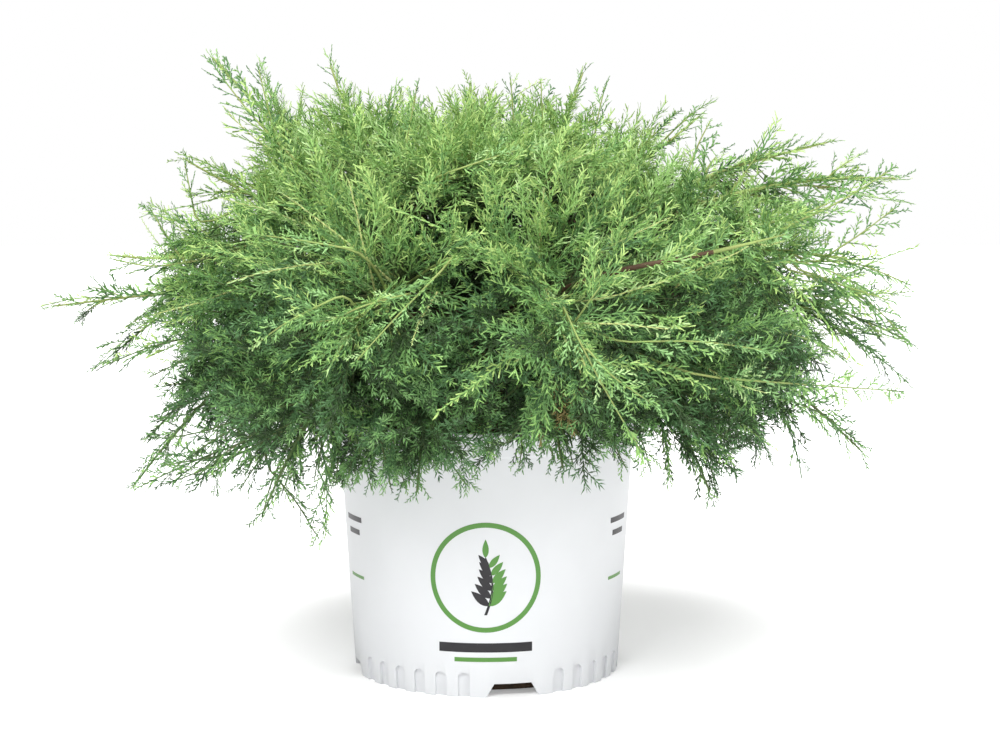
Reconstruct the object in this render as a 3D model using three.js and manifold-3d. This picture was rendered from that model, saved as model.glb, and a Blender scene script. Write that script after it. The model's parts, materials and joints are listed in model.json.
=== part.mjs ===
import * as THREE from 'three';
import { mergeVertices } from 'three/addons/utils/BufferGeometryUtils.js';
import Module from 'manifold-3d';

const wasm = await Module();
wasm.setup();

// A spreading juniper shrub in a round nursery pot. Millimetres, +Z up.
// The origin is on the ground under the middle of the pot, and the plant's front looks along -Y.

const degree = Math.PI / 180;
const touchGap = 0.3; // between pieces that bear on each other
const overcut = 4; // how far a cutter runs past the face that it opens
const vary = 0.3; // the range of a seeded size, as a share of its middle
const palette = {
  pot: { color: 0xe9edf2, roughness: 0.42, metalness: 0 },
  mix: { color: 0x3a2a1e, roughness: 0.95, metalness: 0 },
  bark: { color: 0x7a4b30, roughness: 0.88, metalness: 0 },
  green: [0x8fae3c, 0x5f8a3a, 0x3f6b42].map((color) => ({ color, roughness: 0.62, metalness: 0 })),
};

const pot = {
  height: 240,
  rimRadius: 140,
  footRadius: 123.6,
  wallTopRadius: 138, // the tapering wall's outer radius, carried up to the rim's height
  wall: 2.2,
  lipHeight: 7,
  lipRound: 1.3,
  lipWidth: 3,
  bandHeight: 22, // the plain band under the rim, a little proud of the wall
  bandProud: 0.7,
  footRing: 5, // thickness of the skirt at the foot
  skirtHeight: 30,
  floorUnder: 3, // the floor's underside is this far above the ground
  floorTop: 5.6,
  chamfer: 1.5,
  skirtStep: 4,
  sides: 36,
};
const drain = { count: 4, first: -78.6, bottomWidth: 52, topWidth: 34, height: 12.5, inward: 16 };
const flute = { perQuarter: 6, first: 20.4, width: 11, height: 23, depth: 2, archSteps: 2 };
const mix = { belowRim: 21, lump: 3.5, edge: 6, flatRadius: 34, rings: 3, sides: 24 };

const trunk = { height: 62, footRadius: 21, neckRadius: 14, forkRadius: 10.5, lean: [5, -3], sides: 9 };
const limb = {
  mainRadius: 7.5,
  sideRadius: 5.2,
  endRadius: 3,
  stemTip: 1.1,
  pull: 0.38, // how far its root's and tip's slopes hold, as a share of its reach
  mainSides: 5,
  sideSides: 4,
  steps: 3,
  stemSteps: 4,
};

// Each limb runs from its carrier in one arch to its leader's tip: turn is the bearing of the tip in
// degrees from +X towards +Y, reach and height its distance from the pot's axis and above the ground.
// rise and fall are the slopes at its root and tip. It is a bare bough for the first part of its
// length, and the stem of a foliage mass after that. spread is the half width of that mass.
const limbs = [
  { name: 'top_middle_left', from: 'trunk', at: 0.97, turn: 188, reach: 146, height: 571,
    rise: 72, fall: 74, bare: 0.38, spread: 95 },
  { name: 'top_middle', from: 'trunk', at: 0.99, turn: 6, reach: 93, height: 564,
    rise: 78, fall: 70, bare: 0.38, spread: 95 },
  { name: 'top_centre', from: 'top_middle_left', at: 0.2, turn: 110, reach: 44, height: 553,
    rise: 86, fall: 80, bare: 0.25, spread: 90 },
  { name: 'high_right', from: 'trunk', at: 0.93, turn: -6, reach: 387, height: 458,
    rise: 58, fall: -4, bare: 0.33, spread: 95 },
  { name: 'right', from: 'trunk', at: 0.75, turn: 13.4, reach: 433, height: 292,
    rise: 47, fall: -28, bare: 0.3, spread: 95 },
  { name: 'left', from: 'trunk', at: 0.8, turn: 180, reach: 417, height: 338,
    rise: 50, fall: -6, bare: 0.3, spread: 95 },
  { name: 'mid_front_right', from: 'trunk', at: 0.85, turn: -78, reach: 384, height: 318,
    rise: 52, fall: -30, bare: 0.3, spread: 95 },
  { name: 'mid_front_left', from: 'trunk', at: 0.88, turn: -109.7, reach: 356, height: 318,
    rise: 58, fall: -38, bare: 0.31, spread: 95 },
  { name: 'low_back_left', from: 'trunk', at: 0.7, turn: 132, reach: 395, height: 240,
    rise: 50, fall: -38, bare: 0.3, spread: 95 },
  { name: 'low_back_right', from: 'trunk', at: 0.72, turn: 47, reach: 400, height: 235,
    rise: 50, fall: -38, bare: 0.3, spread: 95 },
  { name: 'top_left', from: 'top_middle_left', at: 0.3, turn: 171, reach: 266, height: 577,
    rise: 42, fall: 48, bare: 0.3, spread: 90 },
  { name: 'top_front', from: 'top_middle_left', at: 0.26, turn: -93, reach: 188, height: 500,
    rise: 55, fall: 38, bare: 0.3, spread: 95 },
  { name: 'top_back', from: 'top_middle', at: 0.28, turn: 96, reach: 201, height: 545,
    rise: 52, fall: 55, bare: 0.31, spread: 95 },
  { name: 'top_right', from: 'top_middle', at: 0.34, turn: 11, reach: 209, height: 520,
    rise: 48, fall: 42, bare: 0.28, spread: 95 },
  { name: 'right_shoulder', from: 'high_right', at: 0.24, turn: 18, reach: 357, height: 492,
    rise: 50, fall: 12, bare: 0.28, spread: 90 },
  { name: 'mid_right', from: 'right', at: 0.2, turn: -24, reach: 350, height: 392,
    rise: 56, fall: -4, bare: 0.23, spread: 85 },
  { name: 'low_right', from: 'right', at: 0.16, turn: -10, reach: 353, height: 206,
    rise: 30, fall: -44, bare: 0.28, spread: 85 },
  { name: 'low_right_front', from: 'mid_front_right', at: 0.2, turn: -46, reach: 278, height: 191,
    rise: 34, fall: -66, bare: 0.28, spread: 85 },
  { name: 'low_front', from: 'mid_front_left', at: 0.22, turn: -102, reach: 269, height: 201,
    rise: 26, fall: -68, bare: 0.25, spread: 80 },
  { name: 'front_right', from: 'mid_front_right', at: 0.2, turn: -76, reach: 268, height: 222,
    rise: 20, fall: -58, bare: 0.25, spread: 85 },
  { name: 'low_front_left', from: 'mid_front_left', at: 0.16, turn: -126.5, reach: 311, height: 182,
    rise: 34, fall: -60, bare: 0.28, spread: 85 },
  { name: 'low_left_front', from: 'left', at: 0.16, turn: -159, reach: 336, height: 186,
    rise: 32, fall: -52, bare: 0.28, spread: 85 },
  { name: 'low_left', from: 'left', at: 0.2, turn: 162, reach: 358, height: 194,
    rise: 30, fall: -44, bare: 0.28, spread: 85 },
  { name: 'left_shoulder', from: 'left', at: 0.22, turn: -172, reach: 284, height: 482,
    rise: 64, fall: 34, bare: 0.3, spread: 90 },
  { name: 'mid_left', from: 'left', at: 0.26, turn: 170.6, reach: 369, height: 384,
    rise: 52, fall: 8, bare: 0.28, spread: 85 },
  { name: 'mid_back_left', from: 'low_back_left', at: 0.2, turn: 122, reach: 325, height: 425,
    rise: 55, fall: 12, bare: 0.3, spread: 95 },
  { name: 'mid_back_right', from: 'low_back_right', at: 0.22, turn: 62, reach: 330, height: 415,
    rise: 55, fall: 8, bare: 0.3, spread: 95 },
  { name: 'low_back', from: 'low_back_right', at: 0.14, turn: 92, reach: 378, height: 262,
    rise: 44, fall: -36, bare: 0.3, spread: 90 },
];

// Side leaders that stand out of a mass, each from a place along its stem to a tip of its own.
const leaders = [
  { mass: 'top_left', at: 0.4, turn: 167, reach: 220, height: 569 },
  { mass: 'top_middle_left', at: 0.3, turn: 196, reach: 84, height: 549 },
  { mass: 'right_shoulder', at: 0.5, turn: 14, reach: 296, height: 487 },
  { mass: 'high_right', at: 0.5, turn: -2, reach: 386, height: 436 },
  { mass: 'right', at: 0.55, turn: 2, reach: 397, height: 352 },
  { mass: 'right', at: 0.4, turn: 2, reach: 400, height: 262 },
  { mass: 'low_right', at: 0.4, turn: -16, reach: 296, height: 190 },
  { mass: 'low_right_front', at: 0.25, turn: -58, reach: 284, height: 208 },
  { mass: 'low_left', at: 0.4, turn: 173, reach: 306, height: 229 },
  { mass: 'left', at: 0.45, turn: 184, reach: 366, height: 280 },
  { mass: 'mid_left', at: 0.4, turn: 176, reach: 318, height: 436 },
  { mass: 'low_left_front', at: 0.4, turn: -168, reach: 252, height: 168 },
  { mass: 'low_front_left', at: 0.35, turn: -128, reach: 228, height: 150 },
];

// Twigs leave a stem in turn, spacing apart, at a slope that closes towards its tip. Their lengths are
// shares of the mass's spread at the stem's root and tip. Every fourth is a branching shoot, and the
// others are single fronds. One that would leave its space is tried again, turned and shorter.
const twig = {
  spacing: 38,
  least: 5,
  turn: 137.5,
  sway: 40,
  splay: 66,
  splayTip: 40,
  longest: 1.55,
  shortest: 1.05,
  forward: 0.25,
  tries: 5,
  retryTurn: 75,
  retryShrink: 0.1,
  shootEach: 4,
};
const shoot = {
  sideSpacing: 48,
  bareRoot: 50,
  thickness: 0.85, // of the stem's where it leaves it
  tipThickness: 0.4,
  mostCover: 0.72, // the most of a short shoot that its end spray takes
  sideSlope: 37,
  smaller: 0.75,
};
const spray = {
  length: 74, // of the end spray that a leader's last stretch carries
  sunk: 0.28, // share of its length that a twig runs on inside it
  sideLength: 74,
  width: 42,
  sideWidth: 34,
  frondWidth: 48,
  thick: 4.2,
  thickest: 0.35, // share of its length from its root
  arch: 0.3,
  rootDepth: 2.5, // how far its root runs on into the stem
  roll: 0.7,
};
// Half of a spray's toothed outline, as shares of its length and width, from its root to its tip.
const endTeeth = [[0, 0.08], [0.56, 0.5], [0.6, 0.15], [0.86, 0.28], [1, 0]];
const sideTeeth = [[0, 0.08], [0.6, 0.48], [0.62, 0.12], [1, 0]];
const frondTeeth = [[0, 0.05], [0.58, 0.5], [0.62, 0.15], [0.88, 0.28], [1, 0]];
// The bulk inside a mass, between two shares of its stem, and its half sizes beside and above it.
const core = {
  start: 0.02,
  end: 0.76,
  across: 46,
  upright: 30,
  rings: 3,
  sides: 6,
  leastSize: 0.1,
  drawIn: 0.88,
};
// The clearances that keep each mass in its own space, and the half widths and top of the whole crown.
const space = { clear: 1.6, limbClear: 2.5, potClear: 4, halfX: 421, halfY: 379, top: 578 };
// The crown's dense body is a dome that only the leaders pass: its middle, its half widths, and how
// far it rises above its middle and hangs below it.
const dome = {
  middle: [22, 0, 300],
  halfX: 362,
  halfY: 345,
  rise: 228,
  hang: 130,
  power: 2.8, // 2 is an ellipsoid, and more is squarer
  feather: 0.16,
  leastLength: 0.45, // the least share of its length that a shoot is brought back to
  step: 0.05,
  skyward: 0.25, // how much more a spray faces the sky than the dome does
};

const up = new THREE.Vector3(0, 0, 1);
const vector = (x, y, z) => new THREE.Vector3(x, y, z);
const polar = (turn, reach, height) =>
  vector(reach * Math.cos(turn * degree), reach * Math.sin(turn * degree), height);

// Numbers from 0 to 1 by a fixed rule, the same at each run. The first few of a small seed are alike.
function seeded(seed) {
  const modulus = 2147483647;
  let state = seed;
  const next = () => {
    state = (state * 48271) % modulus;
    return state / modulus;
  };
  next();
  next();
  next();
  return next;
}

const varied = (size, random) => size * (1 + vary * (random() - 0.5));

// Two directions across a tangent and each other, the first of them level where it can be.
function acrossOf(tangent) {
  const reference = Math.abs(tangent.z) > 0.9 ? vector(1, 0, 0) : up;
  const side = vector().crossVectors(tangent, reference).normalize();
  return [side, vector().crossVectors(side, tangent)];
}

function closedGeometry(points, faces) {
  const geometry = new THREE.BufferGeometry();
  const numbers = points.flatMap((point) => point.toArray());
  geometry.setAttribute('position', new THREE.Float32BufferAttribute(numbers, 3));
  geometry.setIndex(faces.flat());
  return geometry;
}

function toSolid(geometry) {
  const bare = geometry.clone();
  bare.deleteAttribute('normal');
  bare.deleteAttribute('uv');
  const merged = mergeVertices(bare, 1e-4);
  return new wasm.Manifold(new wasm.Mesh({
    numProp: 3,
    vertProperties: new Float32Array(merged.attributes.position.array),
    triVerts: new Uint32Array(merged.index.array),
  }));
}

function toGeometry(solid) {
  const { vertProperties, triVerts } = solid.getMesh();
  const geometry = new THREE.BufferGeometry();
  geometry.setAttribute('position', new THREE.BufferAttribute(new Float32Array(vertProperties), 3));
  geometry.setIndex(new THREE.BufferAttribute(new Uint32Array(triVerts), 1));
  return geometry;
}

// The largest of a solid's separate bodies.
function mainBody(solid) {
  return solid.decompose().sort((a, b) => b.volume() - a.volume())[0];
}

// Rings of points along a curve, from share a to share b, as a tapering limb with flat ends, or with
// a pointed far end where its last radius is 0.
function taperedTube(curve, a, b, radiusAt, sides, steps) {
  const chord = curve.getPoint(b).sub(curve.getPoint(a)).normalize();
  const reference = Math.abs(chord.z) > 0.8 ? vector(1, 0, 0) : up;
  const points = [];
  for (let ring = 0; ring <= steps; ring += 1) {
    const share = ring / steps;
    const along = a + (b - a) * share;
    const centre = curve.getPoint(along);
    const tangent = curve.getTangent(along);
    const side = vector().crossVectors(tangent, reference).normalize();
    const other = vector().crossVectors(side, tangent);
    const radius = radiusAt(share);
    const count = radius > 0 ? sides : 1;
    for (let k = 0; k < count; k += 1) {
      const angle = (2 * Math.PI * k) / sides;
      points.push(centre.clone().addScaledVector(side, radius * Math.cos(angle))
        .addScaledVector(other, radius * Math.sin(angle)));
    }
  }
  const faces = [];
  const pointed = radiusAt(1) <= 0;
  for (let ring = 0; ring < steps; ring += 1) {
    const low = ring * sides;
    const high = low + sides;
    for (let k = 0; k < sides; k += 1) {
      const next = (k + 1) % sides;
      if (pointed && ring === steps - 1) {
        faces.push([low + k, high, low + next]);
      } else {
        faces.push([low + k, high + k, low + next], [low + next, high + k, high + next]);
      }
    }
  }
  for (let k = 1; k < sides - 1; k += 1) {
    faces.push([0, k, k + 1]);
    if (!pointed) {
      const last = steps * sides;
      faces.push([last, last + k + 1, last + k]);
    }
  }
  return closedGeometry(points, faces);
}

function lathe(profile, sides) {
  const geometry = new THREE.LatheGeometry(profile.map(([r, z]) => new THREE.Vector2(r, z)), sides);
  geometry.rotateX(Math.PI / 2);
  return geometry;
}

const wallTaper = (pot.wallTopRadius - pot.footRadius) / pot.height;
const wallRadius = (z) => pot.footRadius + wallTaper * z;
const mixTop = pot.height - mix.belowRim;

// The pot's shell, closed round its axis, before its foot is cut.
function potShell() {
  const band = pot.height - pot.bandHeight;
  const lip = pot.height - pot.lipHeight;
  const bandRadius = (z) => wallRadius(z) + pot.bandProud;
  const inner = (z) => wallRadius(z) - pot.wall;
  const skirtInner = pot.footRadius - pot.footRing;
  return toSolid(lathe([
    [0, pot.floorUnder],
    [skirtInner - pot.chamfer, pot.floorUnder],
    [skirtInner, 0],
    [pot.footRadius, 0],
    [wallRadius(band), band],
    [bandRadius(band), band + 1],
    [bandRadius(lip), lip],
    [pot.rimRadius, lip + 1],
    [pot.rimRadius, pot.height - pot.lipRound],
    [pot.rimRadius - pot.lipRound, pot.height],
    [pot.rimRadius - pot.lipWidth, pot.height],
    [inner(lip), lip],
    [inner(pot.skirtHeight), pot.skirtHeight],
    [skirtInner, pot.skirtHeight - pot.skirtStep],
    [skirtInner, pot.floorTop],
    [0, pot.floorTop],
  ], pot.sides));
}

// An upright outline, pushed out along +X from one distance from the axis to another.
function wallCutter(outline, from, to) {
  const geometry = new THREE.ExtrudeGeometry(outline, { depth: to - from, bevelEnabled: false });
  geometry.rotateX(Math.PI / 2);
  geometry.rotateZ(Math.PI / 2);
  return geometry.translate(from, 0, 0);
}

function fluteCutter(bearing) {
  const half = flute.width / 2;
  const outline = new THREE.Shape();
  outline.moveTo(-half, -overcut);
  outline.lineTo(half, -overcut);
  outline.lineTo(half, flute.height - half);
  for (let k = 1; k < flute.archSteps; k += 1) {
    const angle = (Math.PI * k) / flute.archSteps;
    outline.lineTo(half * Math.cos(angle), flute.height - half + half * Math.sin(angle));
  }
  outline.lineTo(-half, flute.height - half);
  const geometry = wallCutter(outline, 0, flute.depth + overcut);
  geometry.rotateY(Math.atan(wallTaper));
  geometry.translate(pot.footRadius - flute.depth, 0, 0);
  geometry.rotateZ(bearing * degree);
  return toSolid(geometry);
}

function drainCutter(bearing) {
  const outline = new THREE.Shape();
  outline.moveTo(-drain.bottomWidth / 2, -overcut);
  outline.lineTo(drain.bottomWidth / 2, -overcut);
  outline.lineTo(drain.topWidth / 2, drain.height);
  outline.lineTo(-drain.topWidth / 2, drain.height);
  const geometry = wallCutter(outline, pot.footRadius - drain.inward, pot.footRadius + overcut);
  geometry.rotateZ(bearing * degree);
  return toSolid(geometry);
}

function makePot() {
  const cutters = [];
  for (let quarter = 0; quarter < drain.count; quarter += 1) {
    const bearing = drain.first + (quarter * 360) / drain.count;
    cutters.push(drainCutter(bearing));
    const step = (360 / drain.count - 2 * flute.first) / (flute.perQuarter - 1);
    for (let k = 0; k < flute.perQuarter; k += 1) {
      cutters.push(fluteCutter(bearing + flute.first + k * step));
    }
  }
  return mainBody(potShell().subtract(wasm.Manifold.union(cutters)));
}

// The potting mix: the pot's filling, with a lumpy top that is level round the stem.
function makeMix() {
  const random = seeded(421);
  const flatToCorner = Math.cos(Math.PI / pot.sides); // the pot's walls are flats between corners
  const inner = (z) => (wallRadius(z) - pot.wall) * flatToCorner - touchGap;
  const skirt = (pot.footRadius - pot.footRing) * flatToCorner - touchGap;
  const bottom = pot.floorTop + touchGap;
  const points = [vector(0, 0, bottom)];
  const ringAt = (radius, height) => {
    for (let k = 0; k < mix.sides; k += 1) {
      points.push(polar((360 * k) / mix.sides, radius, height()));
    }
  };
  const lumps = () => mixTop - mix.lump * random();
  ringAt(skirt, () => bottom);
  ringAt(skirt, () => pot.skirtHeight - pot.skirtStep - touchGap);
  ringAt(inner(pot.skirtHeight), () => pot.skirtHeight);
  ringAt(inner(mixTop - 2 * mix.lump), () => mixTop - 2 * mix.lump * random());
  for (let ring = 1; ring <= mix.rings; ring += 1) {
    const share = ring / mix.rings;
    const radius = (1 - share) * (inner(mixTop) - mix.edge) + share * mix.flatRadius;
    ringAt(radius, ring === mix.rings ? () => mixTop : lumps);
  }
  points.push(vector(0, 0, mixTop));
  const faces = [];
  const rings = mix.rings + 4;
  const last = points.length - 1;
  for (let k = 0; k < mix.sides; k += 1) {
    const next = (k + 1) % mix.sides;
    faces.push([0, 1 + next, 1 + k]);
    for (let ring = 0; ring < rings - 1; ring += 1) {
      const low = 1 + ring * mix.sides;
      const high = low + mix.sides;
      faces.push([low + k, low + next, high + k], [low + next, high + next, high + k]);
    }
    const top = 1 + (rings - 1) * mix.sides;
    faces.push([top + k, top + next, last]);
  }
  return closedGeometry(points, faces);
}

// A trunk that stands on the mix, flares at its foot and leans a little to its fork.
const trunkFoot = vector(0, 0, mixTop + touchGap);
const trunkFork = vector(trunk.lean[0], trunk.lean[1], trunkFoot.z + trunk.height);
const trunkLine = new THREE.CubicBezierCurve3(trunkFoot,
  trunkFoot.clone().add(vector(0, 0, trunk.height / 3)),
  trunkFork.clone().sub(vector(0, 0, trunk.height / 3)), trunkFork);
function trunkRadius(share) {
  const flare = (trunk.footRadius - trunk.neckRadius) * (1 - share) ** 5;
  return flare + trunk.neckRadius + (trunk.forkRadius - trunk.neckRadius) * share;
}

// One arch from root to tip that leaves the root at one slope and comes to the tip at another.
function archCurve(root, tip, rise, fall) {
  const level = vector(tip.x - root.x, tip.y - root.y, 0).normalize();
  const pull = limb.pull * root.distanceTo(tip);
  const slope = (angle) => level.clone().multiplyScalar(Math.cos(angle * degree))
    .addScaledVector(up, Math.sin(angle * degree)).multiplyScalar(pull);
  return new THREE.CubicBezierCurve3(root, root.clone().add(slope(rise)), tip.clone().sub(slope(fall)), tip);
}

const limbByName = { trunk: { curve: trunkLine } };
for (const one of limbs) {
  const root = limbByName[one.from].curve.getPoint(one.at);
  const tip = polar(one.turn, one.reach, one.height);
  one.curve = archCurve(root, tip, one.rise, one.fall);
  one.length = one.curve.getLength();
  one.rootRadius = one.from === 'trunk' ? limb.mainRadius : limb.sideRadius;
  one.boughRadius = (share) => one.rootRadius + (limb.endRadius - one.rootRadius) * share;
  one.boughLine = linePoints(one.curve, 0, one.bare, 8);
  one.stemLine = linePoints(one.curve, one.bare, 1, 10);
  limbByName[one.name] = one;
}

function linePoints(curve, a, b, steps) {
  return Array.from({ length: steps + 1 }, (_, k) => curve.getPoint(a + ((b - a) * k) / steps));
}

// The point at a share of the way along a line of evenly spaced points.
function alongLine(line, share) {
  const place = Math.min(share, 1) * (line.length - 1);
  const k = Math.min(Math.floor(place), line.length - 2);
  return line[k].clone().lerp(line[k + 1], place - k);
}

// How near a point comes to a line of points, and the share along the line where it does.
function nearest(point, line) {
  let best = { distance: Infinity, share: 0 };
  for (let k = 0; k < line.length - 1; k += 1) {
    const span = line[k + 1].clone().sub(line[k]);
    const reach = point.clone().sub(line[k]);
    const along = Math.min(1, Math.max(0, reach.dot(span) / span.lengthSq()));
    const distance = reach.addScaledVector(span, -along).length();
    if (distance < best.distance) {
      best = { distance, share: (k + along) / (line.length - 1) };
    }
  }
  return best;
}

const trunkPoints = linePoints(trunkLine, 0, 1, 3);

// A point is in a mass's space where it is nearer to that mass's stem than to any other, clear of the
// boughs, the trunk and the pot, and inside the crown's box.
function inSpace(point, owner) {
  if (Math.abs(point.x) > space.halfX || Math.abs(point.y) > space.halfY || point.z > space.top) {
    return false;
  }
  const beside = Math.hypot(point.x, point.y);
  if (point.z < pot.height + space.potClear && beside < pot.rimRadius + space.potClear) {
    return false;
  }
  if (nearest(point, trunkPoints).distance < trunk.neckRadius + space.limbClear) {
    return false;
  }
  const own = nearest(point, owner.stemLine).distance;
  return limbs.every((one) => {
    if (one !== owner && nearest(point, one.stemLine).distance < own + 2 * space.clear) {
      return false;
    }
    const bough = nearest(point, one.boughLine);
    return bough.distance > one.boughRadius(bough.share) + space.limbClear;
  });
}

// How far out of the crown's middle a point lies, as a share of the dome's own size there.
function domeShare(point) {
  const x = (point.x - dome.middle[0]) / dome.halfX;
  const y = (point.y - dome.middle[1]) / dome.halfY;
  const drop = point.z - dome.middle[2];
  const z = drop / (drop > 0 ? dome.rise : dome.hang);
  return (Math.hypot(x, y) ** dome.power + Math.abs(z) ** dome.power) ** (1 / dome.power);
}

// The end of a shoot of at most this length, brought back to the dome where it would pass it.
function towardsDome(root, aim, length, limit) {
  let reach = length;
  const end = () => root.clone().addScaledVector(aim, reach);
  while (reach > dome.leastLength * length && domeShare(end()) > limit) {
    reach -= dome.step * length;
  }
  return end();
}

// A spray of scale leaves as one thin toothed blade with a raised middle, arching from root to tip.
function sprayBlade(stemPoint, tip, face, width, teeth) {
  const heading = tip.clone().sub(stemPoint).normalize();
  const root = stemPoint.clone().addScaledVector(heading, -spray.rootDepth);
  const along = tip.clone().sub(root);
  const side = vector().crossVectors(face, along).normalize();
  const normal = vector().crossVectors(along, side).normalize();
  const place = (share, across, raise = 0) => root.clone().addScaledVector(along, share)
    .addScaledVector(side, across * width)
    .addScaledVector(normal, raise + spray.arch * width * share * (1 - share));
  const left = teeth.map(([share, across]) => place(share, across));
  const right = teeth.map(([share, across]) => place(share, -across));
  const outline = [...left, ...right.reverse().slice(1)];
  const ridge = [spray.thick / 2, -spray.thick / 2].map((raise) => place(spray.thickest, 0, raise));
  const points = [...outline, ...ridge];
  const count = outline.length;
  const faces = [];
  for (let k = 0; k < count; k += 1) {
    const next = (k + 1) % count;
    faces.push([count, next, k], [count + 1, k, next]);
  }
  return { points, geometry: closedGeometry(points, faces) };
}

function sprayFits(blade, owner) {
  const middle = blade.points[blade.points.length - 1];
  return blade.points.every((point) =>
    inSpace(point, owner) && inSpace(point.clone().lerp(middle, 0.5), owner));
}

// The way a spray's flat side faces: out of the crown's dome there, with some seeded roll.
function facing(point, random) {
  const out = vector((point.x - dome.middle[0]) / dome.halfX, (point.y - dome.middle[1]) / dome.halfY,
    (point.z - dome.middle[2]) / dome.rise + dome.skyward).normalize();
  const roll = () => spray.roll * (random() - 0.5);
  return out.add(vector(roll(), roll(), roll())).normalize();
}

// A shoot is a three-sided twig along a curve with an end spray, and side sprays in turn.
function growShoot(owner, curve, rootRadius, random) {
  const length = curve.getLength();
  const cover = Math.min(spray.length, shoot.mostCover * length);
  const end = 1 - cover / length;
  const twigEnd = end + (spray.sunk * cover) / length;
  const joints = linePoints(curve, 0, twigEnd, 2);
  const tip = curve.getPoint(1);
  const face = facing(tip, random);
  const width = varied(spray.width, random);
  const endSpray = sprayBlade(alongLine(joints, end / twigEnd), tip, face, width, endTeeth);
  if (!sprayFits(endSpray, owner)) {
    return [];
  }
  const radius = (share) => (share >= 1 ? 0 : rootRadius * (1 - (1 - shoot.tipThickness) * share));
  const pieces = [taperedTube(curve, 0, twigEnd, radius, 3, 2), endSpray.geometry];
  const sides = Math.max(1, Math.round((length - shoot.bareRoot) / shoot.sideSpacing));
  for (let k = 0; k < sides; k += 1) {
    const share = end * ((k + 0.75) / sides);
    const root = alongLine(joints, share / twigEnd);
    const tangent = curve.getTangent(share);
    const sideFace = facing(root, random);
    const hand = k % 2 === 0 ? 1 : -1;
    const across = vector().crossVectors(sideFace, tangent).normalize().multiplyScalar(hand);
    const size = varied(spray.sideLength, random);
    const aim = tangent.clone().multiplyScalar(Math.cos(shoot.sideSlope * degree))
      .addScaledVector(across, Math.sin(shoot.sideSlope * degree));
    for (const scale of [1, shoot.smaller]) {
      const sideTip = root.clone().addScaledVector(aim, size * scale);
      const blade = sprayBlade(root, sideTip, sideFace, spray.sideWidth * scale, sideTeeth);
      if (sprayFits(blade, owner)) {
        pieces.push(blade.geometry);
        break;
      }
    }
  }
  return pieces;
}

// A frond is one long spray with its stalk, straight from the stem.
function growFrond(owner, root, tip, random) {
  const width = varied(spray.frondWidth, random);
  const blade = sprayBlade(root, tip, facing(tip, random), width, frondTeeth);
  return sprayFits(blade, owner) ? [blade.geometry] : [];
}

// The inner bulk of a mass: a spindle round its stem, drawn in until it lies in the mass's space.
function growCore(owner) {
  const points = [];
  const stemAt = (share) => owner.bare + (1 - owner.bare) * share;
  for (let ring = 0; ring <= core.rings + 1; ring += 1) {
    const share = core.start + ((core.end - core.start) * ring) / (core.rings + 1);
    const centre = owner.curve.getPoint(stemAt(share));
    const tangent = owner.curve.getTangent(stemAt(share));
    const [side, other] = acrossOf(tangent);
    const pole = ring === 0 || ring === core.rings + 1;
    const swell = pole ? 0 : Math.sin((Math.PI * (ring + 0.4)) / (core.rings + 1.8));
    for (let k = 0; k < (pole ? 1 : core.sides); k += 1) {
      const angle = (2 * Math.PI * (k + (ring % 2) / 2)) / core.sides;
      let size = swell;
      const corner = () => centre.clone().addScaledVector(side, size * core.across * Math.cos(angle))
        .addScaledVector(other, size * core.upright * Math.sin(angle));
      while (size > core.leastSize && !inSpace(corner(), owner)) {
        size *= core.drawIn;
      }
      points.push(corner());
    }
  }
  const faces = [];
  const sides = core.sides;
  const last = points.length - 1;
  for (let k = 0; k < sides; k += 1) {
    const next = (k + 1) % sides;
    faces.push([0, 1 + k, 1 + next]);
    for (let ring = 0; ring < core.rings - 1; ring += 1) {
      const low = 1 + ring * sides;
      const high = low + sides;
      faces.push([low + k, high + k, low + next], [low + next, high + k, high + next]);
    }
    const top = 1 + (core.rings - 1) * sides;
    faces.push([top + k, last, top + next]);
  }
  return closedGeometry(points, faces);
}

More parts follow.
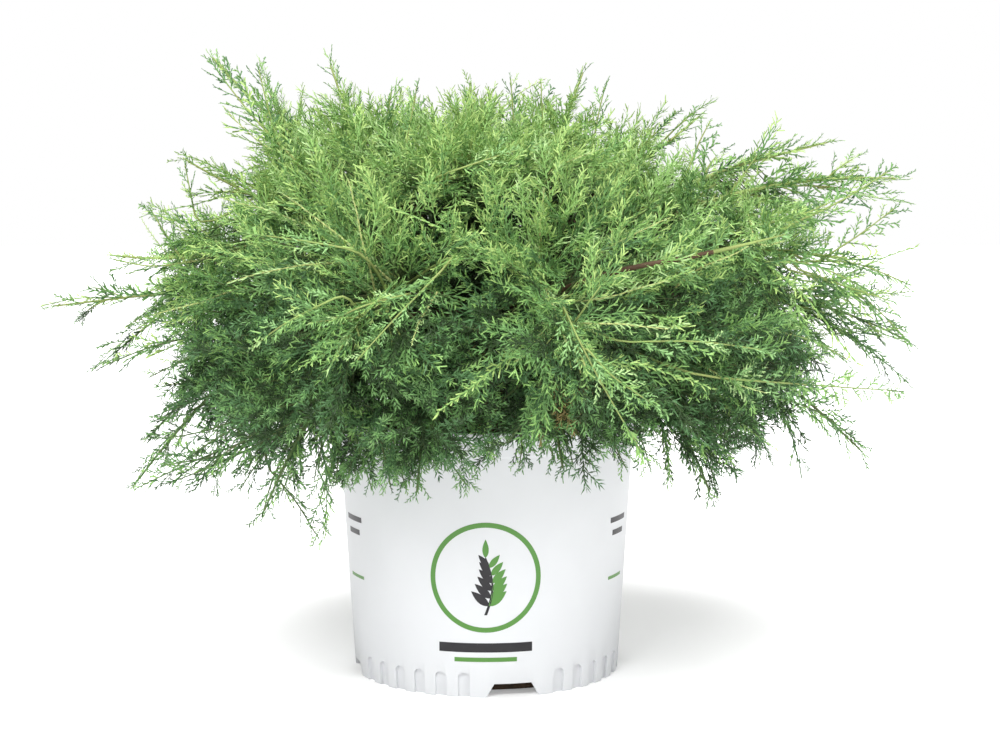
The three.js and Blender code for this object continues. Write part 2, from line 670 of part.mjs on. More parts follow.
// A mass: its stem, its core, the end spray of its leader, its side leaders, and the twigs between.
function growMass(owner, index) {
  const seed = 7919 * (index + 1);
  const stemStart = owner.bare + touchGap / owner.length;
  const sprayStart = 1 - spray.length / owner.length;
  const stemEnd = sprayStart + (spray.sunk * spray.length) / owner.length;
  const stemRadius = (share) => limb.endRadius + (limb.stemTip - limb.endRadius) * share;
  const stemJoints = linePoints(owner.curve, stemStart, stemEnd, limb.stemSteps);
  const stemTangent = (share) => owner.curve.getTangent(stemStart + (stemEnd - stemStart) * share);
  const tip = owner.curve.getPoint(1);
  const sprayRoot = alongLine(stemJoints, (sprayStart - stemStart) / (stemEnd - stemStart));
  const pieces = [
    taperedTube(owner.curve, stemStart, stemEnd, stemRadius, 3, limb.stemSteps),
    growCore(owner),
    sprayBlade(sprayRoot, tip, facing(tip, seeded(seed)), spray.width, endTeeth).geometry,
  ];
  const shootFrom = (share, end, bend, random) => {
    const root = alongLine(stemJoints, share);
    const middle = root.clone().addScaledVector(bend, 0.5 * root.distanceTo(end));
    const curve = new THREE.QuadraticBezierCurve3(root, middle, end);
    return growShoot(owner, curve, shoot.thickness * stemRadius(share), random);
  };
  leaders.filter((one) => one.mass === owner.name).forEach((one, k) => {
    const end = polar(one.turn, one.reach, one.height);
    pieces.push(...shootFrom(one.at, end, stemTangent(one.at), seeded(seed + 1000 + k)));
  });
  const reach = (1 - owner.bare) * owner.length - 0.5 * spray.length;
  const count = Math.max(twig.least, Math.round(reach / twig.spacing));
  for (let k = 0; k < count; k += 1) {
    const share = (k + 0.4) / count;
    const root = alongLine(stemJoints, share);
    const tangent = stemTangent(share);
    const [side, other] = acrossOf(tangent);
    const random = seeded(seed + 100 + k);
    for (let attempt = 0; attempt < twig.tries; attempt += 1) {
      const angle = (twig.turn * k + twig.retryTurn * attempt + twig.sway * random()) * degree;
      const across = side.clone().multiplyScalar(Math.cos(angle)).addScaledVector(other, Math.sin(angle));
      const splay = (twig.splay + (twig.splayTip - twig.splay) * share) * degree;
      const out = tangent.clone().multiplyScalar(Math.cos(splay)).addScaledVector(across, Math.sin(splay));
      const aim = out.clone().lerp(tangent, twig.forward);
      const wanted = twig.longest + (twig.shortest - twig.longest) * share;
      const length = owner.spread * varied(wanted, random) * (1 - twig.retryShrink * attempt);
      const end = towardsDome(root, aim, length, 1 + dome.feather * (random() - 0.5));
      const branching = k % twig.shootEach === 2;
      const grown = branching ? shootFrom(share, end, out, random) : growFrond(owner, root, end, random);
      if (grown.length > 0) {
        pieces.push(...grown);
        break;
      }
    }
  }
  return wasm.Manifold.union(pieces.map(toSolid));
}

const group = new THREE.Group();
function addPiece(name, solid, finish) {
  const geometry = solid.isBufferGeometry ? solid : toGeometry(solid);
  const mesh = new THREE.Mesh(geometry, new THREE.MeshStandardMaterial(finish));
  mesh.name = name;
  group.add(mesh);
}

addPiece('pot', makePot(), palette.pot);
addPiece('potting_mix', makeMix(), palette.mix);
addPiece('trunk', taperedTube(trunkLine, 0, 1, trunkRadius, trunk.sides, 6), palette.bark);

// Boughs, each cut clear of its carrier and of those before it.
let cleared = toSolid(taperedTube(trunkLine, 0, 1, (share) => trunkRadius(share) + touchGap, trunk.sides, 6));
for (const one of limbs) {
  const sides = one.from === 'trunk' ? limb.mainSides : limb.sideSides;
  const whole = toSolid(taperedTube(one.curve, 0, one.bare, one.boughRadius, sides, limb.steps));
  const grown = toSolid(taperedTube(one.curve, 0, one.bare, (share) => one.boughRadius(share) + touchGap,
    sides, limb.steps));
  one.bough = mainBody(whole.subtract(cleared));
  cleared = cleared.add(grown);
  addPiece(`bough_${one.name}`, one.bough, palette.bark);
}
limbs.forEach((one, index) => {
  const mass = mainBody(growMass(one, index).subtract(cleared));
  addPiece(`foliage_${one.name}`, mass, palette.green[index % palette.green.length]);
});

export default group;
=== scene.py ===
# A spreading juniper in a round nursery pot, set up for a studio picture.
# The limbs grow by the same rule as the frame's, in millimetres. Each foliage mass becomes fine twigs and
# sprays of scale leaves in that mass's own space, and more sprays fill the gaps between them.
import json
import math

import bpy
import numpy as np
from mathutils import Euler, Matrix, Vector
from mathutils.kdtree import KDTree

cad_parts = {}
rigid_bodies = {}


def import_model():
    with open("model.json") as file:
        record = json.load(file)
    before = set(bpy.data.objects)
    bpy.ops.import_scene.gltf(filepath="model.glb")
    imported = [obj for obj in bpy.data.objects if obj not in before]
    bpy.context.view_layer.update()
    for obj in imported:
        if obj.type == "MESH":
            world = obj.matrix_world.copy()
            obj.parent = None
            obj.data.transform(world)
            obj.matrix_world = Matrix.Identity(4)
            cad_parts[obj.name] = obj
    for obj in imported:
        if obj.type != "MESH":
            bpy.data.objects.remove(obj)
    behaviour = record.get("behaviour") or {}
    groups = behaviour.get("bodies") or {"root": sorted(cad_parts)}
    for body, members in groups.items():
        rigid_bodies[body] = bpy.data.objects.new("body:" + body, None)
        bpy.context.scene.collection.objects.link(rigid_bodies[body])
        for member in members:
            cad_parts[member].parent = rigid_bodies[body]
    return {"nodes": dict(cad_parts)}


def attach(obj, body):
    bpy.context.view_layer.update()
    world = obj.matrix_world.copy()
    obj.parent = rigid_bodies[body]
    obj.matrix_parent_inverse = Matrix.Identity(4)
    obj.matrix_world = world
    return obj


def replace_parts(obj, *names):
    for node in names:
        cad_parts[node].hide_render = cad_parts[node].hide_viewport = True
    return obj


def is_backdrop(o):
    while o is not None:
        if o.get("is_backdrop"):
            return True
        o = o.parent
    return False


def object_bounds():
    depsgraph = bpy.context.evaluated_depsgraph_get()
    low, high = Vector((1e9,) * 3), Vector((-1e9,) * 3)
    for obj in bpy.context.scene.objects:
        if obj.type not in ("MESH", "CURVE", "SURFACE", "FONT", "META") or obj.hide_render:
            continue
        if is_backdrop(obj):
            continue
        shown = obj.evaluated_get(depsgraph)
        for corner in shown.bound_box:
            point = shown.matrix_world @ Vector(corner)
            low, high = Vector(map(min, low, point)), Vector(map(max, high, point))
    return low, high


for thing in list(bpy.data.objects):
    bpy.data.objects.remove(thing)
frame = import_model()
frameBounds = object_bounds()
print("frame loaded with", len(frame["nodes"]), "nodes")

metre = 0.001  # one millimetre in metres
up = np.array([0.0, 0.0, 1.0])


# Small helpers

def unit(vector):
    return vector / np.linalg.norm(vector, axis=-1, keepdims=True)


def between(pair, share):
    return pair[0] + (pair[1] - pair[0]) * share


def polar(turn, reach, height):
    angle = math.radians(turn)
    return np.array([reach * math.cos(angle), reach * math.sin(angle), height])


def seeded(seed):
    # numbers from 0 to 1 by the same fixed rule as the frame's
    modulus = 2147483647
    multiplier = 48271
    state = seed

    def roll():
        nonlocal state
        state = state * multiplier % modulus
        return state / modulus

    for _ in range(3):
        roll()
    return roll


def varied(size, roll):
    # up to 15% smaller or larger
    return size * (1 + 0.3 * (roll() - 0.5))


def acrossOf(tangent):
    # two directions square to this one and to each other
    steep = abs(tangent[2]) > 0.9
    side = unit(np.cross(tangent, (1.0, 0, 0) if steep else up))
    return side, np.cross(side, tangent)


class Bezier:
    def __init__(self, *controls):
        self.controls = [np.array(point, float) for point in controls]

    def at(self, share):
        share = np.asarray(share, float)[..., None]
        points = self.controls
        while len(points) > 1:
            points = [a * (1 - share) + b * share for a, b in zip(points, points[1:])]
        return points[0]

    def tangent(self, share):
        nudge = 1e-4
        share = np.asarray(share, float)
        return unit(self.at(np.minimum(share + nudge, 1)) - self.at(np.maximum(share - nudge, 0)))

    def line(self, start, end, steps):
        return self.at(np.linspace(start, end, steps + 1))

    def length(self):
        return np.linalg.norm(np.diff(self.line(0, 1, 200), axis=0), axis=1).sum()


def alongLine(line, share):
    # the place at this share of a line of points
    place = min(share, 1) * (len(line) - 1)
    k = min(int(place), len(line) - 2)
    return line[k] + (line[k + 1] - line[k]) * (place - k)


class Shape:
    # vertices and faces gathered from many small forms, in millimetres
    def __init__(self):
        self.vertices = []
        self.faces = []
        self.count = 0

    def add(self, vertices, faces):
        self.vertices.append(np.asarray(vertices, np.float32))
        self.faces.append(np.asarray(faces, np.int32) + self.count)
        self.count += len(vertices)

    def part(self, start, end):
        first = sum(map(len, self.vertices[:start]))
        return np.concatenate(self.vertices[start:end]), np.concatenate(self.faces[start:end]) - first

    def arrays(self):
        return self.part(0, len(self.faces))

    def pieces(self, most):
        # the shape in parts of so many triangles at most, each cut between two of its forms
        start = 0
        faces = 0
        for k, form in enumerate(self.faces):
            if faces + len(form) > most:
                yield self.part(start, k)
                start, faces = k, 0
            faces += len(form)
        if self.faces:
            yield self.part(start, len(self.faces))


def addToScene(name, data):
    thing = bpy.data.objects.new(name, data)
    bpy.context.scene.collection.objects.link(thing)
    return thing


def makeObject(name, vertices, faces, material, slot, smooth=True):
    mesh = bpy.data.meshes.new(name)
    mesh.from_pydata(np.asarray(vertices, float) * metre, [], faces)
    mesh.validate()
    if smooth:
        mesh.shade_smooth()
    mesh.materials.append(material)
    thing = addToScene(name, mesh)
    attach(thing, "root")
    return thing


def tube(points, radii, sides, closeEnd=True):
    # a tapering tube along a line of points, as vertices and triangles
    points = np.asarray(points, float)
    radii = np.asarray(radii, float)
    tangents = unit(np.gradient(points, axis=0))
    side = acrossOf(unit(points[-1] - points[0]))[0]
    sideways = unit(side - tangents * (tangents @ side)[:, None])
    other = np.cross(tangents, sideways)
    angle = np.linspace(0, 2 * math.pi, sides, endpoint=False)[:, None]
    ring = np.cos(angle) * sideways[:, None] + np.sin(angle) * other[:, None]
    vertices = (points[:, None] + ring * radii[:, None, None]).reshape(-1, 3)
    faces = []
    for k in range(len(points) - 1):
        for j in range(sides):
            a, b = k * sides + j, k * sides + (j + 1) % sides
            faces += [(a, b, a + sides), (b, b + sides, a + sides)]
    if closeEnd:
        last = (len(points) - 1) * sides
        faces += [(last + j, last + (j + 1) % sides, len(vertices)) for j in range(sides)]
        vertices = np.vstack([vertices, points[-1] + tangents[-1] * radii[-1]])
    return vertices, faces


# Camera, light and floor

view = {
    "away": 2.0,
    "aside": 0.0127,
    "height": 0.5076,
    "lookDown": math.radians(6.6714),
    "lens": 77.70,
    "sensor": 36,
    "columns": 1000,
    "rows": 753,
    "floorSize": 14,
    "floorColour": (0.93, 0.93, 0.93, 1),
    "floorRoughness": 0.8,
    "floorLift": 0.28,  # brightens the floor for the camera alone, as an overexposed studio floor is
    "skyColour": (1, 1, 1, 1),
    "skyLight": 0.36,
    "skySeen": 1.0,
}
lamps = {
    "key": {"place": (-0.9, -2.6, 1.9), "size": 1.1, "power": 36, "aim": (0, 0, 0.3)},
    "fill": {"place": (2.0, -1.8, 1.1), "size": 1.6, "power": 21, "aim": (0, 0, 0.25)},
    "back": {"place": (0.6, 2.2, 1.8), "size": 1.6, "power": 12, "aim": (0, 0, 0.4)},
}
overhead = {"lean": (math.radians(22), math.radians(-5), 0), "power": 4.1, "spread": math.radians(55)}


def makeCamera():
    camera = addToScene("camera", bpy.data.cameras.new("camera"))
    camera.data.lens = view["lens"]
    camera.data.sensor_width = view["sensor"]
    camera.location = (view["aside"], -view["away"], view["height"])
    camera.rotation_euler = (math.pi / 2 - view["lookDown"], 0, 0)
    bpy.context.scene.camera = camera


def makeLamps():
    for name, lamp in lamps.items():
        light = addToScene(name, bpy.data.lights.new(name, "AREA"))
        light.data.shape = "DISK"
        light.data.size = lamp["size"]
        light.data.energy = lamp["power"]
        light.location = lamp["place"]
        heading = Vector(lamp["aim"]) - Vector(lamp["place"])
        light.rotation_euler = heading.to_track_quat("-Z", "Y").to_euler()
    above = addToScene("overhead", bpy.data.lights.new("overhead", "SUN"))
    above.data.energy = overhead["power"]
    above.data.angle = overhead["spread"]
    above.rotation_euler = overhead["lean"]


def forCamera(tree, socket, otherwise, seen):
    # one value where the camera looks straight at it, and another for all other light
    ray = tree.nodes.new("ShaderNodeLightPath")
    value = tree.nodes.new("ShaderNodeMapRange")
    value.inputs["To Min"].default_value = otherwise
    value.inputs["To Max"].default_value = seen
    tree.links.new(ray.outputs["Is Camera Ray"], value.inputs["Value"])
    tree.links.new(value.outputs["Result"], socket)


def makeSky():
    world = bpy.data.worlds.new("studio")
    world.use_nodes = True
    background = world.node_tree.nodes["Background"]
    background.inputs["Color"].default_value = view["skyColour"]
    forCamera(world.node_tree, background.inputs["Strength"], view["skyLight"], view["skySeen"])
    bpy.context.scene.world = world
    bpy.context.scene.view_settings.view_transform = "Standard"


def makeFloor():
    half = view["floorSize"] / 2
    corners = [(-half, -half, 0), (half, -half, 0), (half, half, 0), (-half, half, 0)]
    mesh = bpy.data.meshes.new("floor")
    mesh.from_pydata(corners, [], [(0, 1, 2, 3)])
    paint = bpy.data.materials.new("floor")
    paint.use_nodes = True
    surface = paint.node_tree.nodes["Principled BSDF"]
    surface.inputs["Base Color"].default_value = view["floorColour"]
    surface.inputs["Roughness"].default_value = view["floorRoughness"]
    surface.inputs["Emission Color"].default_value = view["skyColour"]
    forCamera(paint.node_tree, surface.inputs["Emission Strength"], 0, view["floorLift"])
    mesh.materials.append(paint)
    addToScene("floor", mesh)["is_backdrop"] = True


makeCamera()
makeLamps()
makeSky()
makeFloor()
print("camera, light and floor set")


# Shader groups that more than one material uses

def newGroup(name, inputs, outputs):
    group = bpy.data.node_groups.new(name, "ShaderNodeTree")
    for label, kind, value in inputs:
        socket = group.interface.new_socket(label, in_out="INPUT", socket_type=kind)
        socket.default_value = value
    for label, kind in outputs:
        group.interface.new_socket(label, in_out="OUTPUT", socket_type=kind)
    return group, group.nodes.new("NodeGroupInput"), group.nodes.new("NodeGroupOutput")


def addNode(tree, kind, values=None, **settings):
    node = tree.nodes.new(kind)
    for name, value in settings.items():
        setattr(node, name, value)
    for name, value in (values or {}).items():
        node.inputs[name].default_value = value
    return node


def connect(tree, *links):
    # each link names a node and its output, then a node and its input
    for source, output, target, taken in links:
        tree.links.new(source.outputs[output], target.inputs[taken])


def makeMottle():
    # a colour that drifts to a second one in soft patches with fine speckle
    group, given, made = newGroup("mottle", [
        ("Colour", "NodeSocketColor", (0.5, 0.5, 0.5, 1)),
        ("Patch Colour", "NodeSocketColor", (0.4, 0.4, 0.4, 1)),
        ("Scale", "NodeSocketFloat", 60.0),
        ("Amount", "NodeSocketFloat", 0.5),
    ], [("Colour", "NodeSocketColor")])
    place = addNode(group, "ShaderNodeTexCoord")
    patches = addNode(group, "ShaderNodeTexNoise", {"Detail": 4.0, "Roughness": 0.65})
    spread = addNode(group, "ShaderNodeMapRange", {"From Min": 0.35, "From Max": 0.65})
    share = addNode(group, "ShaderNodeMath", operation="MULTIPLY")
    mix = addNode(group, "ShaderNodeMix", data_type="RGBA")
    colourA, colourB, mixed = 6, 7, 2  # the Mix node's sockets for colours
    connect(group,
            (place, "Object", patches, "Vector"),
            (given, "Scale", patches, "Scale"),
            (patches, "Fac", spread, "Value"),
            (spread, "Result", share, 0),
            (given, "Amount", share, 1),
            (share, 0, mix, "Factor"),
            (given, "Colour", mix, colourA),
            (given, "Patch Colour", mix, colourB),
            (mix, mixed, made, "Colour"))
    return group


def makeGrain():
    # fine relief, stretched along one axis, as a normal
    group, given, made = newGroup("grain", [
        ("Scale", "NodeSocketFloat", 300.0),
        ("Stretch", "NodeSocketVector", (1.0, 1.0, 1.0)),
        ("Strength", "NodeSocketFloat", 0.3),
        ("Depth", "NodeSocketFloat", 0.0005),
    ], [("Normal", "NodeSocketVector")])
    place = addNode(group, "ShaderNodeTexCoord")
    stretch = addNode(group, "ShaderNodeVectorMath", operation="MULTIPLY")
    noise = addNode(group, "ShaderNodeTexNoise", {"Detail": 5.0, "Roughness": 0.6})
    bump = addNode(group, "ShaderNodeBump")
    connect(group,
            (place, "Object", stretch, 0),
            (given, "Stretch", stretch, 1),
            (stretch, 0, noise, "Vector"),
            (given, "Scale", noise, "Scale"),
            (noise, "Fac", bump, "Height"),
            (given, "Strength", bump, "Strength"),
            (given, "Depth", bump, "Distance"),
            (bump, "Normal", made, "Normal"))
    return group


mottle = makeMottle()
grain = makeGrain()


def makeMaterial(name, colour, patch, finish):
    # a Principled surface with a mottled colour and, where the finish names one, a fine grain
    material = bpy.data.materials.new(name)
    material.use_nodes = True
    tree = material.node_tree
    surface = tree.nodes["Principled BSDF"]
    surface.inputs["Roughness"].default_value = finish["roughness"]
    surface.inputs["Specular IOR Level"].default_value = finish["specular"]
    tones = {"Colour": (*colour, 1), "Patch Colour": (*patch, 1), **finish["mottle"]}
    tone = addNode(tree, "ShaderNodeGroup", tones, node_tree=mottle)
    connect(tree, (tone, "Colour", surface, "Base Color"))
    if "grain" in finish:
        relief = addNode(tree, "ShaderNodeGroup", finish["grain"], node_tree=grain)
        connect(tree, (relief, "Normal", surface, "Normal"))
    return material


# Limbs: the frame's trunk, boughs and stems

trunk = {"foot": 219.3, "height": 62, "footRadius": 21, "neckRadius": 14, "forkRadius": 10.5,
         "lean": (5, -3)}
limb = {"mainRadius": 7.5, "sideRadius": 5.2, "endRadius": 3, "stemTip": 1.1, "pull": 0.38, "stemSteps": 4,
        "gap": 0.3}  # between a bough and its mass's own stem
limbFields = ("name", "carrier", "at", "turn", "reach", "height", "rise", "fall", "bare", "spread")
limbRows = [
    ("top_middle_left", "trunk", 0.97, 188, 146, 571, 72, 74, 0.38, 95),
    ("top_middle", "trunk", 0.99, 6, 93, 564, 78, 70, 0.38, 95),
    ("top_centre", "top_middle_left", 0.2, 110, 44, 553, 86, 80, 0.25, 90),
    ("high_right", "trunk", 0.93, -6, 387, 458, 58, -4, 0.33, 95),
    ("right", "trunk", 0.75, 13.4, 433, 292, 47, -28, 0.3, 95),
    ("left", "trunk", 0.8, 180, 417, 338, 50, -6, 0.3, 95),
    ("mid_front_right", "trunk", 0.85, -78, 384, 318, 52, -30, 0.3, 95),
    ("mid_front_left", "trunk", 0.88, -109.7, 356, 318, 58, -38, 0.31, 95),
    ("low_back_left", "trunk", 0.7, 132, 395, 240, 50, -38, 0.3, 95),
    ("low_back_right", "trunk", 0.72, 47, 400, 235, 50, -38, 0.3, 95),
    ("top_left", "top_middle_left", 0.3, 171, 266, 577, 42, 48, 0.3, 90),
    ("top_front", "top_middle_left", 0.26, -93, 188, 500, 55, 38, 0.3, 95),
    ("top_back", "top_middle", 0.28, 96, 201, 545, 52, 55, 0.31, 95),
    ("top_right", "top_middle", 0.34, 11, 209, 520, 48, 42, 0.28, 95),
    ("right_shoulder", "high_right", 0.24, 18, 357, 492, 50, 12, 0.28, 90),
    ("mid_right", "right", 0.2, -24, 350, 392, 56, -4, 0.23, 85),
    ("low_right", "right", 0.16, -10, 353, 206, 30, -44, 0.28, 85),
    ("low_right_front", "mid_front_right", 0.2, -46, 278, 191, 34, -66, 0.28, 85),
    ("low_front", "mid_front_left", 0.22, -102, 269, 201, 26, -68, 0.25, 80),
    ("front_right", "mid_front_right", 0.2, -76, 268, 222, 20, -58, 0.25, 85),
    ("low_front_left", "mid_front_left", 0.16, -126.5, 311, 182, 34, -60, 0.28, 85),
    ("low_left_front", "left", 0.16, -159, 336, 186, 32, -52, 0.28, 85),
    ("low_left", "left", 0.2, 162, 358, 194, 30, -44, 0.28, 85),
    ("left_shoulder", "left", 0.22, -172, 284, 482, 64, 34, 0.3, 90),
    ("mid_left", "left", 0.26, 170.6, 369, 384, 52, 8, 0.28, 85),
    ("mid_back_left", "low_back_left", 0.2, 122, 325, 425, 55, 12, 0.3, 95),
    ("mid_back_right", "low_back_right", 0.22, 62, 330, 415, 55, 8, 0.3, 95),
    ("low_back", "low_back_right", 0.14, 92, 378, 262, 44, -36, 0.3, 90),
]
leaderFields = ("mass", "at", "turn", "reach", "height")
leaderRows = [
    ("top_left", 0.4, 167, 220, 569),
    ("top_middle_left", 0.3, 196, 84, 549),
    ("right_shoulder", 0.5, 14, 296, 487),
    ("high_right", 0.5, -2, 386, 436),
    ("right", 0.55, 2, 397, 352),
    ("right", 0.4, 2, 400, 262),
    ("low_right", 0.4, -16, 296, 190),
    ("low_right_front", 0.25, -58, 284, 208),
    ("low_left", 0.4, 173, 306, 229),
    ("left", 0.45, 184, 366, 280),
    ("mid_left", 0.4, 176, 318, 436),
    ("low_left_front", 0.4, -168, 252, 168),
    ("low_front_left", 0.35, -128, 228, 150),
]
trunkFoot = np.array([0.0, 0.0, trunk["foot"]])
trunkFork = trunkFoot + (*trunk["lean"], trunk["height"])
trunkThird = up * trunk["height"] / 3
trunkLine = Bezier(trunkFoot, trunkFoot + trunkThird, trunkFork - trunkThird, trunkFork)
limbs = [dict(zip(limbFields, row)) for row in limbRows]
leaders = [dict(zip(leaderFields, row)) for row in leaderRows]


def archCurve(root, tip, rise, fall):
    # one arch that leaves its root at one slope and comes to its tip at another
    level = unit((tip - root) * (1, 1, 0))
    pull = limb["pull"] * np.linalg.norm(tip - root)

    def towards(angle):
        return pull * (level * math.cos(math.radians(angle)) + up * math.sin(math.radians(angle)))

    return Bezier(root, root + towards(rise), tip - towards(fall), tip)


def placeLimbs():
    curves = {"trunk": trunkLine}
    for index, one in enumerate(limbs):
        root = curves[one["carrier"]].at(one["at"])
        curve = archCurve(root, polar(one["turn"], one["reach"], one["height"]), one["rise"], one["fall"])
        curves[one["name"]] = curve
        one["index"] = index
        one["curve"] = curve
        one["length"] = curve.length()
        one["rootRadius"] = limb["mainRadius"] if one["carrier"] == "trunk" else limb["sideRadius"]


placeLimbs()
trunkPoints = trunkLine.line(0, 1, 3)
boughLines = np.array([one["curve"].line(0, one["bare"], 8) for one in limbs])
stemLines = np.array([one["curve"].line(one["bare"], 1, 10) for one in limbs])
boughRoots = np.array([one["rootRadius"] for one in limbs])


# Space: each mass keeps to where its own stem is the nearest

space = {"clear": 1.6, "limbClear": 2.5, "potClear": 4, "halfX": 421, "halfY": 379, "top": 578}
potRim = {"height": 240, "radius": 140}  # as the pot's own values below say
dome = {"middle": np.array([22.0, 0, 300]), "halfX": 362, "halfY": 345, "rise": 228, "hang": 130,
        "power": 2.8, "feather": 0.16, "leastLength": 0.45, "step": 0.05, "skyward": 0.25}

# the outline of the crown's dense part as the camera sees it, at the pot's own distance: only long
# shoots and a few plumes stand out past it
outline = {
    "corners": [(-300, 300), (-308, 345), (-304, 400), (-282, 428), (-222, 450), (-216, 505),
                (-182, 538), (-130, 546), (-60, 536), (60, 538), (112, 508), (160, 486),
                (210, 464), (268, 454), (318, 440), (316, 408), (284, 376), (284, 345),
                (316, 318), (322, 284), (298, 250), (250, 205), (220, 176), (200, 184),
                (190, 214), (166, 230), (150, 218), (140, 192), (118, 200), (60, 208),
                (20, 210), (-14, 196), (-40, 180), (-75, 164), (-110, 162), (-148, 170),
                (-156, 216), (-170, 216), (-184, 186), (-236, 194), (-262, 236),
                (-286, 262)],
    "soft": 11,
    "kept": 0.16,
}


def outsideOutline(points, dice, kept):
    # which points the camera sees outside that outline, its edge softened by chance, but for a share kept
    points = np.atleast_2d(points)
    lens = np.array([view["aside"], view["height"]]) / metre
    nearer = view["away"] / metre / (view["away"] / metre + points[:, 1:2])
    seen = lens + (points[:, [0, 2]] - lens) * nearer + dice.normal(0, outline["soft"], (len(points), 2))
    inside = np.zeros(len(points), bool)
    corners = np.array(outline["corners"], float)
    for (x0, z0), (x1, z1) in zip(corners, np.roll(corners, -1, axis=0)):
        crosses = (seen[:, 1] < z0) != (seen[:, 1] < z1)
        inside ^= crosses & (seen[:, 0] < x0 + (seen[:, 1] - z0) * (x1 - x0) / (z1 - z0 + 1e-9))
    return ~inside & (dice.random(len(points)) > kept)


def spanGaps(points, lines):
    # how near each point comes to each straight span of each line, and the share along that span
    starts, spans = lines[:, :-1], np.diff(lines, axis=1)
    reach = points[:, None, None] - starts
    along = np.clip((reach * spans).sum(-1) / (spans * spans).sum(-1), 0, 1)
    return np.linalg.norm(reach - along[..., None] * spans, axis=-1), along


def clearOfLimbs(points):
    # inside the plant's own box, and clear of the pot, the trunk and the bare boughs
    points = np.atleast_2d(points)
    fits = (abs(points[:, 0]) <= space["halfX"]) & (abs(points[:, 1]) <= space["halfY"])
    fits &= points[:, 2] <= space["top"]
    beside = np.hypot(points[:, 0], points[:, 1])
    above = points[:, 2] >= potRim["height"] + space["potClear"]
    fits &= above | (beside >= potRim["radius"] + space["potClear"])
    fits &= spanGaps(points, trunkPoints[None])[0].min((1, 2)) >= trunk["neckRadius"] + space["limbClear"]
    gaps, along = spanGaps(points, boughLines)
    nearest = gaps.argmin(2)[..., None]
    share = (nearest + np.take_along_axis(along, nearest, 2))[..., 0] / gaps.shape[2]
    radius = between((boughRoots, limb["endRadius"]), share)
    return fits & (gaps.min(2) > radius + space["limbClear"]).all(1)


def inSpace(points, owner):
    # clear of the limbs, and nearer to the mass's own stem than to any other
    points = np.atleast_2d(points)
    stemGaps = spanGaps(points, stemLines)[0].min(2)
    own = stemGaps[:, owner["index"]].copy()
    stemGaps[:, owner["index"]] = np.inf
    return clearOfLimbs(points) & (stemGaps.min(1) >= own + 2 * space["clear"])


def domeShare(points):
    # how far out points lie, as a share of the crown's whole reach that way
    offset = np.atleast_2d(points) - dome["middle"]
    flat = np.hypot(offset[:, 0] / dome["halfX"], offset[:, 1] / dome["halfY"])
    upright = abs(offset[:, 2]) / np.where(offset[:, 2] > 0, dome["rise"], dome["hang"])
    return (flat ** dome["power"] + upright ** dome["power"]) ** (1 / dome["power"])


def towardsDome(root, aim, length, limit):
    # the end of a twig that stops short of the crown's skin
    reach = length
    while reach > dome["leastLength"] * length and domeShare(root + aim * reach)[0] > limit:
        reach -= dome["step"] * length
    return root + aim * reach


# Twigs: the frame's own shoots and fronds first, found again by its rule and its seeds

twig = {"spacing": 38, "least": 5, "turn": 137.5, "sway": 40, "splay": (66, 40), "reach": (1.55, 1.05),
        "forward": 0.25, "tries": 5, "retryTurn": 75, "retryShrink": 0.1, "shootEach": 4}
shoot = {"sideSpacing": 48, "bareRoot": 50, "thickness": 0.85, "mostCover": 0.72, "sideSlope": 37,
         "smaller": 0.75}
spray = {"length": 74, "sunk": 0.28, "sideLength": 74, "width": 42, "sideWidth": 34, "frondWidth": 48,
         "thick": 4.2, "thickest": 0.35, "arch": 0.3, "rootDepth": 2.5, "roll": 0.7}
endTeeth = [(0, 0.08), (0.56, 0.5), (0.6, 0.15), (0.86, 0.28), (1, 0)]
sideTeeth = [(0, 0.08), (0.6, 0.48), (0.62, 0.12), (1, 0)]
frondTeeth = [(0, 0.05), (0.58, 0.5), (0.62, 0.15), (0.88, 0.28), (1, 0)]


def facing(point, roll):
    # out of the crown and a little upwards, turned by chance
    out = (point - dome["middle"]) / (dome["halfX"], dome["halfY"], dome["rise"])
    out = unit(out + up * dome["skyward"])
    return unit(out + [spray["roll"] * (roll() - 0.5) for _ in range(3)])


def sprayFits(stemPoint, tip, face, width, teeth, owner):
    # whether the frame's toothed blade from this root to this tip stays in its mass's space
    root = stemPoint - unit(tip - stemPoint) * spray["rootDepth"]
    along = tip - root
    side = unit(np.cross(face, along))
    normal = unit(np.cross(along, side))

    def place(share, across, raised=0):
        lift = spray["arch"] * width * share * (1 - share)
        return root + along * share + side * across * width + normal * (raised + lift)

    points = [place(share, across) for share, across in teeth]
    points += [place(share, -across) for share, across in teeth[:-1]]
    points += [place(spray["thickest"], 0, raised) for raised in (spray["thick"] / 2, -spray["thick"] / 2)]
    points = np.array(points)
    return inSpace(np.vstack([points, (points + points[-1]) / 2]), owner).all()


